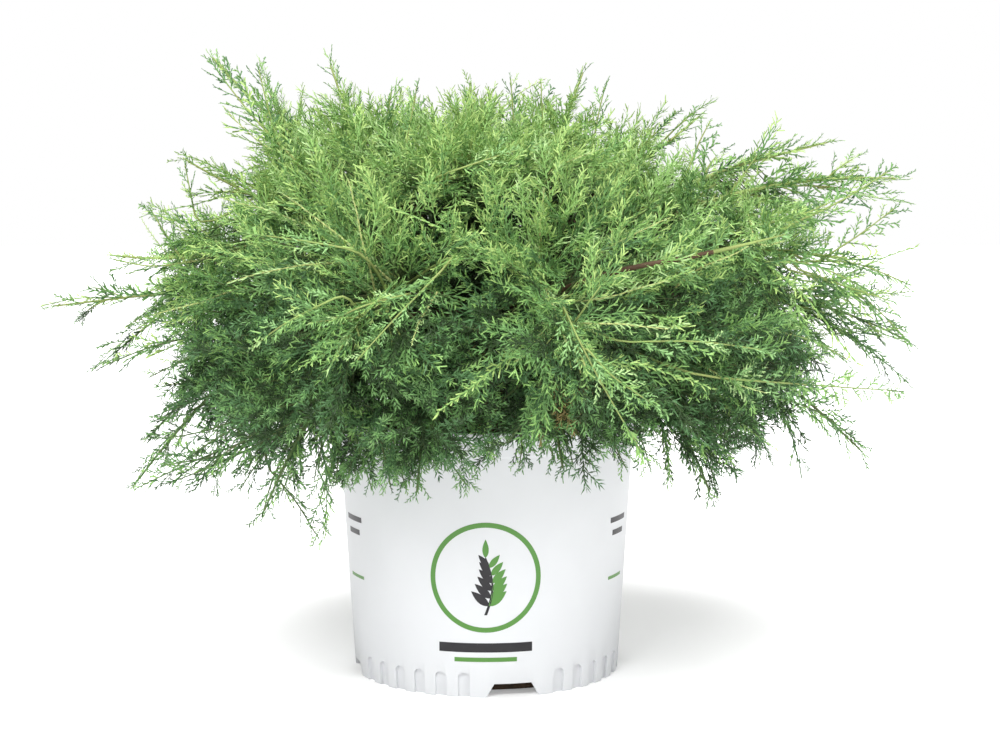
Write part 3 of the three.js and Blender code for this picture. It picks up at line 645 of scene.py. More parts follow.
def growShoot(owner, curve, rootRadius, roll):
    # a twig with its end spray and side sprays, or nothing where the end spray wouldn't fit
    length = curve.length()
    cover = min(spray["length"], shoot["mostCover"] * length)
    end = 1 - cover / length
    twigEnd = end + spray["sunk"] * cover / length
    joints = curve.line(0, twigEnd, 2)
    tip = curve.at(1)
    face = facing(tip, roll)
    width = varied(spray["width"], roll)
    root = alongLine(joints, end / twigEnd)
    if not sprayFits(root, tip, face, width, endTeeth, owner):
        return []
    grown = [{"kind": "leader", "curve": curve, "radius": rootRadius, "face": face, "root": root, "tip": tip}]
    sides = max(1, math.floor((length - shoot["bareRoot"]) / shoot["sideSpacing"] + 0.5))
    for k in range(sides):
        share = end * (k + 0.75) / sides
        root = alongLine(joints, share / twigEnd)
        tangent = curve.tangent(share)
        sideFace = facing(root, roll)
        across = unit(np.cross(sideFace, tangent)) * (1 if k % 2 == 0 else -1)
        size = varied(spray["sideLength"], roll)
        slope = math.radians(shoot["sideSlope"])
        aim = tangent * math.cos(slope) + across * math.sin(slope)
        for scale in (1, shoot["smaller"]):
            sideTip = root + aim * size * scale
            if sprayFits(root, sideTip, sideFace, spray["sideWidth"] * scale, sideTeeth, owner):
                grown.append({"kind": "frond", "root": root, "tip": sideTip, "face": sideFace})
                break
    return grown


# finer twigs by the same rule, with seeds of their own, fill each mass out
finer = {"times": 3, "sizes": (0.5, 1.0)}
twigSeeds = {"mass": 7919, "leader": 1000, "twig": 100, "finer": 3000}


def growTwigs(owner):
    seed = twigSeeds["mass"] * (owner["index"] + 1)
    curve, length, bare = owner["curve"], owner["length"], owner["bare"]
    stemStart = bare + limb["gap"] / length
    sprayStart = 1 - spray["length"] / length
    stemEnd = sprayStart + spray["sunk"] * spray["length"] / length
    joints = curve.line(stemStart, stemEnd, limb["stemSteps"])

    def stemTangent(share):
        return curve.tangent(between((stemStart, stemEnd), share))

    def shootFrom(share, end, bend, roll):
        root = alongLine(joints, share)
        middle = root + bend * 0.5 * np.linalg.norm(end - root)
        radius = shoot["thickness"] * between((limb["endRadius"], limb["stemTip"]), share)
        return growShoot(owner, Bezier(root, middle, end), radius, roll)

    def growOne(share, k, roll, scale, branching):
        root = alongLine(joints, share)
        tangent = stemTangent(share)
        side, other = acrossOf(tangent)
        for attempt in range(twig["tries"]):
            angle = math.radians(twig["turn"] * k + twig["retryTurn"] * attempt + twig["sway"] * roll())
            across = side * math.cos(angle) + other * math.sin(angle)
            splay = math.radians(between(twig["splay"], share))
            out = tangent * math.cos(splay) + across * math.sin(splay)
            aim = out + (tangent - out) * twig["forward"]
            wanted = between(twig["reach"], share)
            size = owner["spread"] * varied(wanted, roll) * (1 - twig["retryShrink"] * attempt) * scale
            end = towardsDome(root, aim, size, 1 + dome["feather"] * (roll() - 0.5))
            if branching:
                grown = shootFrom(share, end, out, roll)
            else:
                width = varied(spray["frondWidth"], roll)
                face = facing(end, roll)
                fits = sprayFits(root, end, face, width, frondTeeth, owner)
                grown = [{"kind": "frond", "root": root, "tip": end, "face": face}] if fits else []
            if grown:
                return grown
        return []

    tip = curve.at(1)
    sprays = [{"kind": "leader", "root": curve.at(sprayStart), "tip": tip, "face": facing(tip, seeded(seed))}]
    own = [one for one in leaders if one["mass"] == owner["name"]]
    for k, one in enumerate(own):
        end = polar(one["turn"], one["reach"], one["height"])
        sprays += shootFrom(one["at"], end, stemTangent(one["at"]), seeded(seed + twigSeeds["leader"] + k))
    room = (1 - bare) * length - 0.5 * spray["length"]
    count = max(twig["least"], math.floor(room / twig["spacing"] + 0.5))
    for k in range(count):
        branching = k % twig["shootEach"] == 2
        sprays += growOne((k + 0.4) / count, k, seeded(seed + twigSeeds["twig"] + k), 1, branching)
    many = count * finer["times"]
    for k in range(many):
        roll = seeded(seed + twigSeeds["finer"] + k)
        scale = between(finer["sizes"], roll())
        sprays += growOne((k + 0.5) / many, k, roll, scale, False)
    return sprays


for one in limbs:
    one["sprays"] = growTwigs(one)
print("twigs grown:", sum(len(one["sprays"]) for one in limbs))


# Plumes: a few patterns of scale-leaf twiglets, laid along every twig
# widths are of the axis, the branchlets and the twiglets. twist is how far branchlets and twiglets turn by
# chance, and youngFrom is where young twiglets start, along the plume and along a branchlet. Any other pair
# goes from root to tip, or holds the least and the most that chance gives.

scaleSpray = {
    "seed": 10, "patterns": 12, "length": 50, "spacing": 4.0, "wander": 0.12, "slope": (46, 26),
    "slopeSway": 6, "reach": 0.44, "taper": (1, 0.3), "rootReach": (0.45, 2.95),
    "reachChance": (0.72, 1.15), "lift": 46, "branchBend": 0.3, "woody": 0.2,
    "twigletSpacing": 2.6, "twigletLength": (4.8, 9.5), "twigletTaper": (1.1, 0.7),
    "twigletSlope": 31, "twigletSway": 60, "twist": (0.8, 1),
    "youngFrom": (0.8, 0.6), "widths": (1.6, 1.2, 1.25),
}
shootForm = {
    "wander": 0.1, "axisTip": 0.8, "reachBend": 0.7, "reachChance": (0.5, 1.25),
    "twigletSlope": 29, "twigletSway": 50, "twist": (0.8, 1),
}
leaderPlume = {
    **shootForm, "seed": 40, "patterns": 5, "length": 80, "spacing": 3.8, "slope": (38, 24),
    "reach": (19, 5), "lift": 45, "twigletSpacing": 2.8, "twigletLength": (4, 8), "widths": (2.0, 1.3, 1.25),
}
runnerPlume = {
    **shootForm, "seed": 50, "patterns": 8, "length": 140, "spacing": 4.0, "slope": (36, 24),
    "reach": (16, 5), "lift": 50, "twigletSpacing": 3.0, "twigletLength": (4, 8), "widths": (3.2, 1.5, 1.4),
}
sprigPlume = {
    **shootForm, "seed": 110, "patterns": 8, "length": 34, "spacing": 3.8, "slope": (42, 28),
    "reach": (11, 6), "lift": 45, "twigletSpacing": 3.4, "twigletLength": (3.5, 6),
    "widths": (1.9, 2.0, 2.1),
}
awlPlume = {
    "seed": 70, "patterns": 6, "length": 42, "wander": 0.08, "needleSpacing": 3.5,
    "needleLength": (5.0, 8.5), "needleSway": 15, "slope": (58, 31.9), "branches": 5, "branchSlope": 42,
    "branchSway": 35, "branchLength": (11, 18), "youngWhorls": 3, "widths": (1.6, 1.3, 1.35),
}
shadePlume = {
    "seed": 90, "patterns": 5, "length": 64, "spacing": 6.0, "wander": 0.4, "slope": 38, "sway": 70,
    "reach": 26, "taper": (1.1, 0.6), "reachChance": (0.6, 1.1), "twigletSpacing": 6.0,
    "twigletLength": (10, 16), "twigletSlope": 32, "twigletSway": 60, "twist": (1, 1.4), "youngShare": 0.3,
    "widths": (2.0, 2.0, 2.2),
}
blade = {"widest": 0.4, "fold": 0.5, "twist": 0.9, "tip": 0.62}
slopeSway = 8  # degrees that the slopes of twiglets, needles and sprigs vary either way


class Pattern:
    # what one plume is made of: a body, and the younger twiglets that take a lighter colour
    # a stem is a three-sided cone, a twiglet a twisted strip and a needle a folded blade of two faces each
    forms = {"stem": [(0, 1, 3), (1, 2, 3), (2, 0, 3)],
             "twiglet": [(0, 1, 3), (0, 3, 2)],
             "needle": [(0, 3, 1), (0, 2, 3)]}

    def __init__(self):
        self.rows = {"body": [], "young": []}

    def add(self, form, part, start, end, width, roll=0):
        self.rows[part].append((*start, *end, width / 2, roll, list(self.forms).index(form)))

    def arrays(self, part):
        rows = np.array(self.rows[part])
        start, end, half, roll, form = rows[:, :3], rows[:, 3:6], rows[:, 6:7], rows[:, 7:8], rows[:, 8]
        heading = unit(end - start)
        side = unit(np.cross(up, heading) + (0, 1e-6, 0))
        other = np.cross(heading, side)

        def turned(angle):
            return side * np.cos(angle) + other * np.sin(angle)

        cone = [start + half * turned(turn) for turn in (0, 2 * math.pi / 3, 4 * math.pi / 3)] + [end]
        across = turned(roll) * half
        tip = turned(roll + blade["twist"]) * half * blade["tip"]
        strip = [start - across, start + across, end - tip, end + tip]
        widest = start + (end - start) * blade["widest"]
        widest = widest - np.cross(heading, turned(roll)) * half * blade["fold"]
        needle = [start, widest - across, widest + across, end]
        made = [np.stack(corners, 1) for corners in (cone, strip, needle)]
        vertices = np.select([form[:, None, None] == k for k in range(len(made))], made)
        first = np.arange(len(rows))[:, None, None] * 4
        faces = [(first + np.array(corners))[form == k].reshape(-1, 3)
                 for k, corners in enumerate(self.forms.values())]
        return vertices.reshape(-1, 3), np.concatenate(faces)


def aimed(heading, angle, turn, flat):
    # a direction at an angle in degrees from the heading, turned round it from the plume's flat
    side = unit(np.cross(flat, heading))
    other = np.cross(heading, side)
    across = side * math.cos(turn) + other * math.sin(turn)
    return unit(heading * math.cos(math.radians(angle)) + across * math.sin(math.radians(angle)))


def handTurn(k, sway, dice):
    # out to one hand and to the other by turns, swayed by chance
    return (0 if k % 2 else math.pi) + math.radians(dice.uniform(-sway, sway))


def eitherWay(most, dice):
    return dice.uniform(-most, most)


def axisPoints(length, spacing, wander, dice):
    count = round(length / spacing)
    points = np.zeros((count + 1, 3))
    points[:, 0] = np.linspace(0, length, count + 1)
    drift = np.cumsum(np.cumsum(dice.normal(0, wander, (count + 1, 2)), axis=0), axis=0)
    drift -= np.linspace(0, 1, count + 1)[:, None] * drift[-1]
    points[:, 1:] = drift - drift[0] * np.linspace(1, 0, count + 1)[:, None]
    return points


def addAxis(pattern, points, widths):
    last = len(points) - 1
    for k in range(0, last, 2):
        pattern.add("stem", "body", points[k], points[min(k + 3, last)], between(widths, k / last))


def startPlume(form, dice, tipWidth=1):
    # a pattern that holds the plume's axis alone, and the points along it
    pattern = Pattern()
    points = axisPoints(form["length"], form["spacing"], form["wander"], dice)
    addAxis(pattern, points, (form["widths"][0], form["widths"][1] * tipWidth))
    return pattern, points


def alongAxis(points):
    # each point between the ends of an axis, with its number, its share of the way and the heading there
    last = len(points) - 1
    for k in range(1, last):
        yield k, k / last, points[k], unit(points[k + 1] - points[k - 1])


def scalePlume(form, dice):
    # branchlets that bend forward to either hand, with twiglets all along them
    pattern, points = startPlume(form, dice)
    branchWidth, twigletWidth = form["widths"][1:]
    for k, share, joint, heading in alongAxis(points):
        turn = handTurn(k, form["lift"], dice)
        slope = between(form["slope"], share) + eitherWay(form["slopeSway"], dice)
        reach = form["length"] * form["reach"] * between(form["taper"], share)
        reach *= dice.uniform(*form["reachChance"]) * min(1, between(form["rootReach"], share))
        first = aimed(heading, slope, turn, up)
        second = unit(first + heading * form["branchBend"])
        middle = joint + first * reach * 0.5
        end = middle + second * reach * 0.5
        pattern.add("stem", "body", joint, middle + second * reach * form["woody"], branchWidth)
        pattern.add("twiglet", "young", middle, end, twigletWidth, eitherWay(form["twist"][0], dice))
        for j in range(1, int(reach / form["twigletSpacing"]) + 1):
            along = (j - 0.4) * form["twigletSpacing"] / reach
            root = joint + first * reach * min(along, 0.5) + second * reach * max(along - 0.5, 0)
            turn = handTurn(j, form["twigletSway"], dice)
            aim = aimed(second, form["twigletSlope"] + eitherWay(slopeSway, dice), turn, up)
            end = root + aim * dice.uniform(*form["twigletLength"]) * between(form["twigletTaper"], along)
            young = share > form["youngFrom"][0] or along > form["youngFrom"][1]
            roll = eitherWay(form["twist"][1], dice)
            pattern.add("twiglet", "young" if young else "body", root, end, twigletWidth, roll)
    return pattern


def shootPlume(form, dice):
    # a long stem with short twigs at an acute slope, each with a few twiglets
    pattern, points = startPlume(form, dice, form["axisTip"])
    branchWidth, twigletWidth = form["widths"][1:]
    for k, share, joint, heading in alongAxis(points):
        turn = handTurn(k, form["lift"], dice)
        reach = between(form["reach"], share ** form["reachBend"]) * dice.uniform(*form["reachChance"])
        aim = aimed(heading, between(form["slope"], share), turn, up)
        roll = eitherWay(form["twist"][0], dice)
        pattern.add("twiglet", "young", joint, joint + aim * reach, branchWidth, roll)
        for j in range(1, int(reach / form["twigletSpacing"])):
            root = joint + aim * j * form["twigletSpacing"]
            turn = handTurn(j, form["twigletSway"], dice)
            end = root + aimed(aim, form["twigletSlope"], turn, up) * dice.uniform(*form["twigletLength"])
            pattern.add("twiglet", "young", root, end, twigletWidth, eitherWay(form["twist"][1], dice))
    return pattern


def shadeSpray(form, dice):
    # a coarser plume for the shaded inside of the crown
    pattern, points = startPlume(form, dice)
    branchWidth, twigletWidth = form["widths"][1:]
    for k, share, joint, heading in alongAxis(points):
        turn = handTurn(k, form["sway"], dice)
        reach = form["reach"] * dice.uniform(*form["reachChance"]) * between(form["taper"], share)
        aim = aimed(heading, form["slope"] + eitherWay(slopeSway, dice), turn, up)
        roll = eitherWay(form["twist"][0], dice)
        pattern.add("twiglet", "body", joint, joint + aim * reach, branchWidth, roll)
        for j in range(1, int(reach / form["twigletSpacing"]) + 1):
            root = joint + aim * (j - 0.5) * form["twigletSpacing"]
            turn = handTurn(j, form["twigletSway"], dice)
            end = root + aimed(aim, form["twigletSlope"], turn, up) * dice.uniform(*form["twigletLength"])
            part = "young" if dice.random() < form["youngShare"] else "body"
            pattern.add("twiglet", part, root, end, twigletWidth, eitherWay(form["twist"][1], dice))
    return pattern


def awlSpray(form, dice):
    # whorls of three needles along an axis and its few branches
    pattern = Pattern()
    axisWidth, branchWidth, needleWidth = form["widths"]

    def addWhorls(points, width):
        addAxis(pattern, points, (width, needleWidth))
        last = len(points) - 1
        for k in range(1, last + 1):
            heading = unit(points[k] - points[k - 1])
            for j in range(3):
                turn = math.radians(120 * j + 60 * (k % 2) + eitherWay(form["needleSway"], dice))
                slope = between(form["slope"], k / last) + eitherWay(slopeSway, dice)
                end = points[k] + aimed(heading, slope, turn, up) * dice.uniform(*form["needleLength"])
                part = "young" if k > last - form["youngWhorls"] else "body"
                pattern.add("needle", part, points[k], end, needleWidth, eitherWay(1, dice))

    points = axisPoints(form["length"], form["needleSpacing"], form["wander"], dice)
    addWhorls(points, axisWidth)
    for k in range(form["branches"]):
        place = 2 + round(k * (len(points) - 5) / form["branches"])
        heading = unit(points[place + 1] - points[place])
        aim = aimed(heading, form["branchSlope"], handTurn(k, form["branchSway"], dice), up)
        length = dice.uniform(*form["branchLength"])
        steps = round(length / form["needleSpacing"])
        addWhorls(points[place] + aim * np.linspace(0, length, steps + 1)[:, None], branchWidth)
    return pattern


plumeKinds = {"scale": (scalePlume, scaleSpray), "leader": (shootPlume, leaderPlume),
              "runner": (shootPlume, runnerPlume), "awl": (awlSpray, awlPlume),
              "shade": (shadeSpray, shadePlume), "sprig": (shootPlume, sprigPlume)}
patterns, plumeLength = {}, {}
for kind, (draw, form) in plumeKinds.items():
    made = [draw(form, np.random.default_rng(form["seed"] + k)) for k in range(form["patterns"])]
    patterns[kind] = [{part: pattern.arrays(part) for part in ("body", "young")} for pattern in made]
    plumeLength[kind] = form["length"]
    triangles = [sum(len(faces) for vertices, faces in pattern.values()) for pattern in patterns[kind]]
    print(kind, "plume:", round(np.mean(triangles)), "triangles")
patterns["silver"], plumeLength["silver"] = patterns["sprig"], plumeLength["sprig"]


# Where the plumes go

laying = {
    "seed": 900,
    "spacing": 18,
    "reach": 1.1,  # side plumes that would pass this share of the dome, give or take, are cut short
    "reachChance": 0.02,
    "short": 0.5,
    "leaderRun": 150,
    "leaderSides": (0.1, 0.6),  # where the side plumes start, and the share of the shoot that they take
    "topSides": (0.05, 0.17),  # where they start on a mass's own leader, and their step
    "frondSides": (0.1, 0.62),
    "frondChance": (0.2, 0.8),
    "outlineFrom": 0.3,
    "outlineMarks": 8,
    "tipRoom": 20,
    "slope": (32, 56),
    "sway": 40,
    "size": (0.72, 1.08),
    "endSize": (0.95, 1.2),
    "endMost": 0.75,
    "rise": 0.5,  # how far the plumes of the crown's upper part turn upwards
    "riseFrom": 380,
    "riseOver": 120,
    "awlMasses": {"low_front": 0.9, "front_right": 0.85, "low_front_left": 0.6, "low_right_front": 0.5,
                  "mid_front_left": 0.6, "mid_front_right": 0.5, "low_left_front": 0.5, "left": 0.4,
                  "low_left": 0.4, "low_back": 0.5, "low_back_left": 0.4, "low_back_right": 0.4},
    "awlBelow": 370,
}
sprig = {"first": 10, "spacing": 9, "lengths": {"sprig": (15, 42), "silver": (12, 27)}, "tapers": 110,
         "size": (0.75, 1.2), "slope": 34, "sway": 45, "longestTip": 42}


def plumeAt(kind, root, heading, face, length=0, **more):
    return {"kind": kind, "root": root, "heading": heading, "face": face, "length": length, **more}


def upturn(place):
    return up * laying["rise"] * np.clip((place[2] - laying["riseFrom"]) / laying["riseOver"], 0, 1)


def scaleOrAwl(owner, place, dice):
    # the lower parts of some masses bear needles in place of scale leaves
    awlShare = laying["awlMasses"].get(owner["name"], 0)
    return "awl" if place[2] < laying["awlBelow"] and dice.random() < awlShare else "scale"


def laySprigs(kind, line, run, face, dice):
    # short plumes to either hand of a long shoot, smaller towards its tip
    laid = []
    total = line.length()
    for k, gone in enumerate(np.arange(sprig["first"], min(run, total), sprig["spacing"])):
        share = 1 - gone / total
        turn = handTurn(k, sprig["sway"], dice)
        heading = aimed(line.tangent(share), sprig["slope"] + eitherWay(slopeSway, dice), turn, face)
        length = between(sprig["lengths"][kind], min(1, gone / sprig["tapers"]))
        laid.append(plumeAt(kind, line.at(share), heading, face, length * dice.uniform(*sprig["size"])))
    return laid


def layLeader(one, kind, owner, dice):
    # a leader's own plume, sprigs down its shoot, and side plumes that don't have their heading yet
    root, face = one["root"], one["face"]
    reach = one["tip"] - root
    length = np.linalg.norm(reach)
    laid = [plumeAt("leader", root, reach / length, face, length)]
    laid += laySprigs("sprig", one.get("curve", owner["curve"]), laying["leaderRun"], face, dice)
    if "curve" in one:
        line = one["curve"]
        start, run = laying["leaderSides"]
        steps = round(line.length() * run / laying["spacing"])
        for k in range(steps):
            share = start + run * (k + 0.5) / steps
            laid.append(plumeAt(kind, line.at(share), line.tangent(share), face, hand=k))
    else:
        start, step = laying["topSides"]
        for k in range(3):
            laid.append(plumeAt(kind, root + reach * (start + step * k), reach / length, face, hand=k))
    return laid


def layFrond(one, kind, dice):
    # a plume at a twig's end and side plumes along it: most twigs stop at the crown's outline
    root, face = one["root"], one["face"]
    reach = one["tip"] - root
    length = np.linalg.norm(reach)
    width = spray["frondWidth"] if length > spray["sideLength"] else spray["sideWidth"]
    normal = unit(np.cross(reach, unit(np.cross(face, reach))))

    def axis(share):
        return root + reach * share + normal * spray["arch"] * width * share * (1 - share)

    end = 1
    if dice.random() > outline["kept"]:
        marks = np.linspace(laying["outlineFrom"], 1, laying["outlineMarks"])
        past = outsideOutline([axis(share) for share in marks], dice, 0)
        if past[0]:
            return []
        end = marks[past.argmax() - 1] if past.any() else 1
    tip = axis(end)
    endLength = min(plumeLength[kind] * dice.uniform(*laying["endSize"]), laying["endMost"] * length * end)
    endRoot = axis(end - endLength / length)
    laid = [plumeAt(kind, endRoot, unit(tip - endRoot), face, np.linalg.norm(tip - endRoot), twig=one)]
    steps = max(1, round((length * end - laying["tipRoom"]) / laying["spacing"]))
    start, run = laying["frondSides"]
    for k in range(steps):
        share = end * (start + run * (k + dice.uniform(*laying["frondChance"])) / steps)
        laid.append(plumeAt(kind, axis(share), reach / length, face, hand=k))
    one["axis"] = [axis(share) for share in np.linspace(0, end - 0.6 * endLength / length, 4)]
    return laid


def turnOut(plume, dice):
    # a side plume turns out to one hand of the twig that carries it
    slope = dice.uniform(*laying["slope"])
    heading = aimed(plume["heading"], slope, handTurn(plume["hand"], laying["sway"], dice), plume["face"])
    plume["heading"] = unit(heading + upturn(plume["root"]))
    plume["length"] = plumeLength[plume["kind"]] * dice.uniform(*laying["size"])
    end = plume["root"] + plume["heading"] * plume["length"]
    if domeShare(end)[0] > laying["reach"] + dice.normal(0, laying["reachChance"]):
        plume["length"] *= laying["short"]


def layPlumes(owner):
    # every plume of this mass: its kind, root, heading, flat and length
    dice = np.random.default_rng(laying["seed"] + owner["index"])
    laid = []
    for one in owner["sprays"]:
        kind = scaleOrAwl(owner, one["tip"], dice)
        isLeader = one["kind"] == "leader"
        laid += layLeader(one, kind, owner, dice) if isLeader else layFrond(one, kind, dice)
    for plume in laid:
        if "hand" in plume:
            turnOut(plume, dice)
    tips = np.array([plume["root"] + plume["heading"] * plume["length"] for plume in laid])
    endsTwig = np.array(["twig" in plume for plume in laid])
    fits = inSpace(tips, owner) & (endsTwig | ~outsideOutline(tips, dice, outline["kept"]))
    fits |= np.array([plume["kind"] in ("leader", "sprig") for plume in laid])
    for plume, fit in zip(laid, fits):
        if "twig" in plume and not fit:
            del plume["twig"]["axis"]
    return [plume for plume, fit in zip(laid, fits) if fit]


# the gaps between the twigs take more plumes, out of sight of the crown's own outline
filling = {
    "skin": {"spacing": 25, "start": 0.6, "end": 0.97, "near": 22, "crowd": 4, "kind": "scale", "seed": 41},
    "inside": {"spacing": 28, "start": 0.0, "end": 0.7, "near": 27, "crowd": 6, "kind": "shade", "seed": 42},
}
fillTwig = {"slope": 48, "from": 0.06, "to": 0.96, "steps": 60, "farthest": 150, "size": (0.8, 1.15),
            "radii": (0.75, 0.6, 0.4), "wander": 0.45, "lift": 0.12, "lowest": 248}
runners = {"count": 170, "seed": 17, "start": 0.84, "end": 1.0, "size": (0.6, 1.25), "down": 0.3, "out": 0.7,
           "wander": 0.2, "sunk": 0.35, "reach": 1.14}
limbLines = [one["curve"].line(fillTwig["from"], fillTwig["to"], fillTwig["steps"]) for one in limbs]


def gridPoints(spacing, dice):
    low = dome["middle"] - (dome["halfX"], dome["halfY"], dome["hang"])
    high = dome["middle"] + (dome["halfX"], dome["halfY"], dome["rise"])
    axes = [np.arange(low[k], high[k], spacing) for k in range(3)]
    points = np.stack(np.meshgrid(*axes, indexing="ij"), -1).reshape(-1, 3)
    return points + dice.uniform(-spacing / 2, spacing / 2, points.shape)


def twigRoot(point, k):
    # where on limb k a twig out to this point starts, and how far off the limb is
    gaps = np.linalg.norm(limbLines[k] - point, axis=1)
    nearest = gaps.argmin()
    back = gaps[nearest] / math.tan(math.radians(fillTwig["slope"])) / limbs[k]["length"] * fillTwig["steps"]
    return limbLines[k][max(0, int(nearest - back))], gaps[nearest]


def fillPlace(point, k, kind, dice):
    # a twig from limb k with a plume over this point, or nothing where it wouldn't fit
    owner = limbs[k]
    root, gap = twigRoot(point, k)
    if gap > fillTwig["farthest"]:
        return []
    if kind == "scale":
        kind = scaleOrAwl(owner, point, dice)
    length = plumeLength[kind] * dice.uniform(*fillTwig["size"])
    away = point - root
    plumeRoot = root + away * max(0.0, 1 - length / 2 / np.linalg.norm(away))
    wander = dice.normal(0, fillTwig["wander"], 3)
    heading = unit(unit(away) + wander + up * fillTwig["lift"] + upturn(point))
    ends = plumeRoot + heading * length * np.array([[0.5], [1.0]])
    if not clearOfLimbs(ends).all() or outsideOutline(ends, dice, 0).any():
        return []
    if kind == "shade" and ends[1, 2] < fillTwig["lowest"]:
        return []
    onLimb = np.linalg.norm(plumeRoot - root) <= 2
    joint = root + heading * length * 0.1 if onLimb else plumeRoot
    owner["fillTwigs"].append((root, joint, plumeRoot + heading * length * 0.3))
    return [plumeAt(kind, plumeRoot, heading, facing(point, dice.random), length)]


def fillCrown(laid):
    # one more twig and plume for each empty place, from the stem that is nearest to it
    for layer in filling.values():
        dice = np.random.default_rng(layer["seed"])
        marks = [plume["root"] + plume["heading"] * plume["length"] * share
                 for plumes in laid for plume in plumes for share in (0.2, 0.5, 0.8)]
        tree = KDTree(len(marks))
        for k, mark in enumerate(marks):
            tree.insert(mark, k)
        tree.balance()
        points = gridPoints(layer["spacing"], dice)
        depth = domeShare(points)
        points = points[(depth >= layer["start"]) & (depth <= layer["end"])]
        points = points[~outsideOutline(points, dice, outline["kept"])]
        owners = spanGaps(points, stemLines)[0].min(2).argmin(1)
        before = sum(map(len, laid))
        for k in range(len(limbs)):
            for point in points[owners == k]:
                if len(tree.find_range(point, layer["near"])) < layer["crowd"]:
                    laid[k] += fillPlace(point, k, layer["kind"], dice)
        print("filled in:", sum(map(len, laid)) - before)


def addRunners(laid):
    # long slender shoots that come out through the crown's skin and lean outwards over it
    dice = np.random.default_rng(runners["seed"])
    carriers = [(k, plume) for k, plumes in enumerate(laid) for plume in plumes if plume["kind"] == "scale"]
    depth = domeShare(np.array([plume["root"] for k, plume in carriers]))
    carriers = [one for one, share in zip(carriers, depth) if runners["start"] < share < runners["end"]]
    added = 0
    for pick in dice.choice(len(carriers), size=min(runners["count"], len(carriers)), replace=False):
        k, plume = carriers[pick]
        out = (plume["root"] - dome["middle"]) * (1, 1, 0.6) / (dome["halfX"], dome["halfY"], dome["rise"])
        heading = plume["heading"] + unit(out) * runners["out"] - up * runners["down"] * dice.random()
        heading = unit(heading + dice.normal(0, runners["wander"], 3))
        length = plumeLength["runner"] * dice.uniform(*runners["size"])
        root = plume["root"] - heading * length * runners["sunk"]
        tip = root + heading * length
        beforePot = tip[1] < 0 and abs(tip[0]) < potRim["radius"] and outsideOutline(tip, dice, 0)[0]
        if clearOfLimbs(tip).all() and domeShare(tip)[0] < runners["reach"] and not beforePot:
            laid[k].append(plumeAt("runner", root, heading, plume["face"], length))
            added += 1
    print("runners added:", added)


# the long shoots that stand out on the crown's front, paler than the rest, and those past its outline: each
# by its stem's radius and its joints from root to tip, as column and row in the picture, and y in millimetres
paleShoots = [
    (1.1, [(442, 270, -322), (395, 318, -334), (350, 368, -338)]),  # left of the middle
    (1.0, [(400, 296, -330), (360, 306, -334), (322, 326, -326)]),  # across the middle
    (1.1, [(566, 312, -350), (578, 340, -364), (604, 392, -358), (648, 462, -340)]),  # down to the right
    (1.0, [(590, 352, -358), (612, 378, -360), (672, 416, -340)]),  # beside it
    (0.9, [(632, 342, -315), (700, 340, -318), (775, 352, -285)]),  # right of the middle
    (1.9, [(650, 264, -288), (690, 258, -285), (740, 246, -274), (795, 232, -245)]),  # the reddish one
    (1.1, [(720, 378, -290), (780, 383, -254), (850, 388, -150), (905, 391, -40)]),  # far right
    (1.2, [(345, 248, -288), (300, 240, -284), (235, 232, -225)]),  # on the left shoulder
    (1.1, [(450, 172, -240), (500, 155, -234), (547, 142, -210)]),  # above the middle
    (1.1, [(335, 298, -318), (285, 322, -305), (246, 352, -250)]),  # on the left
]
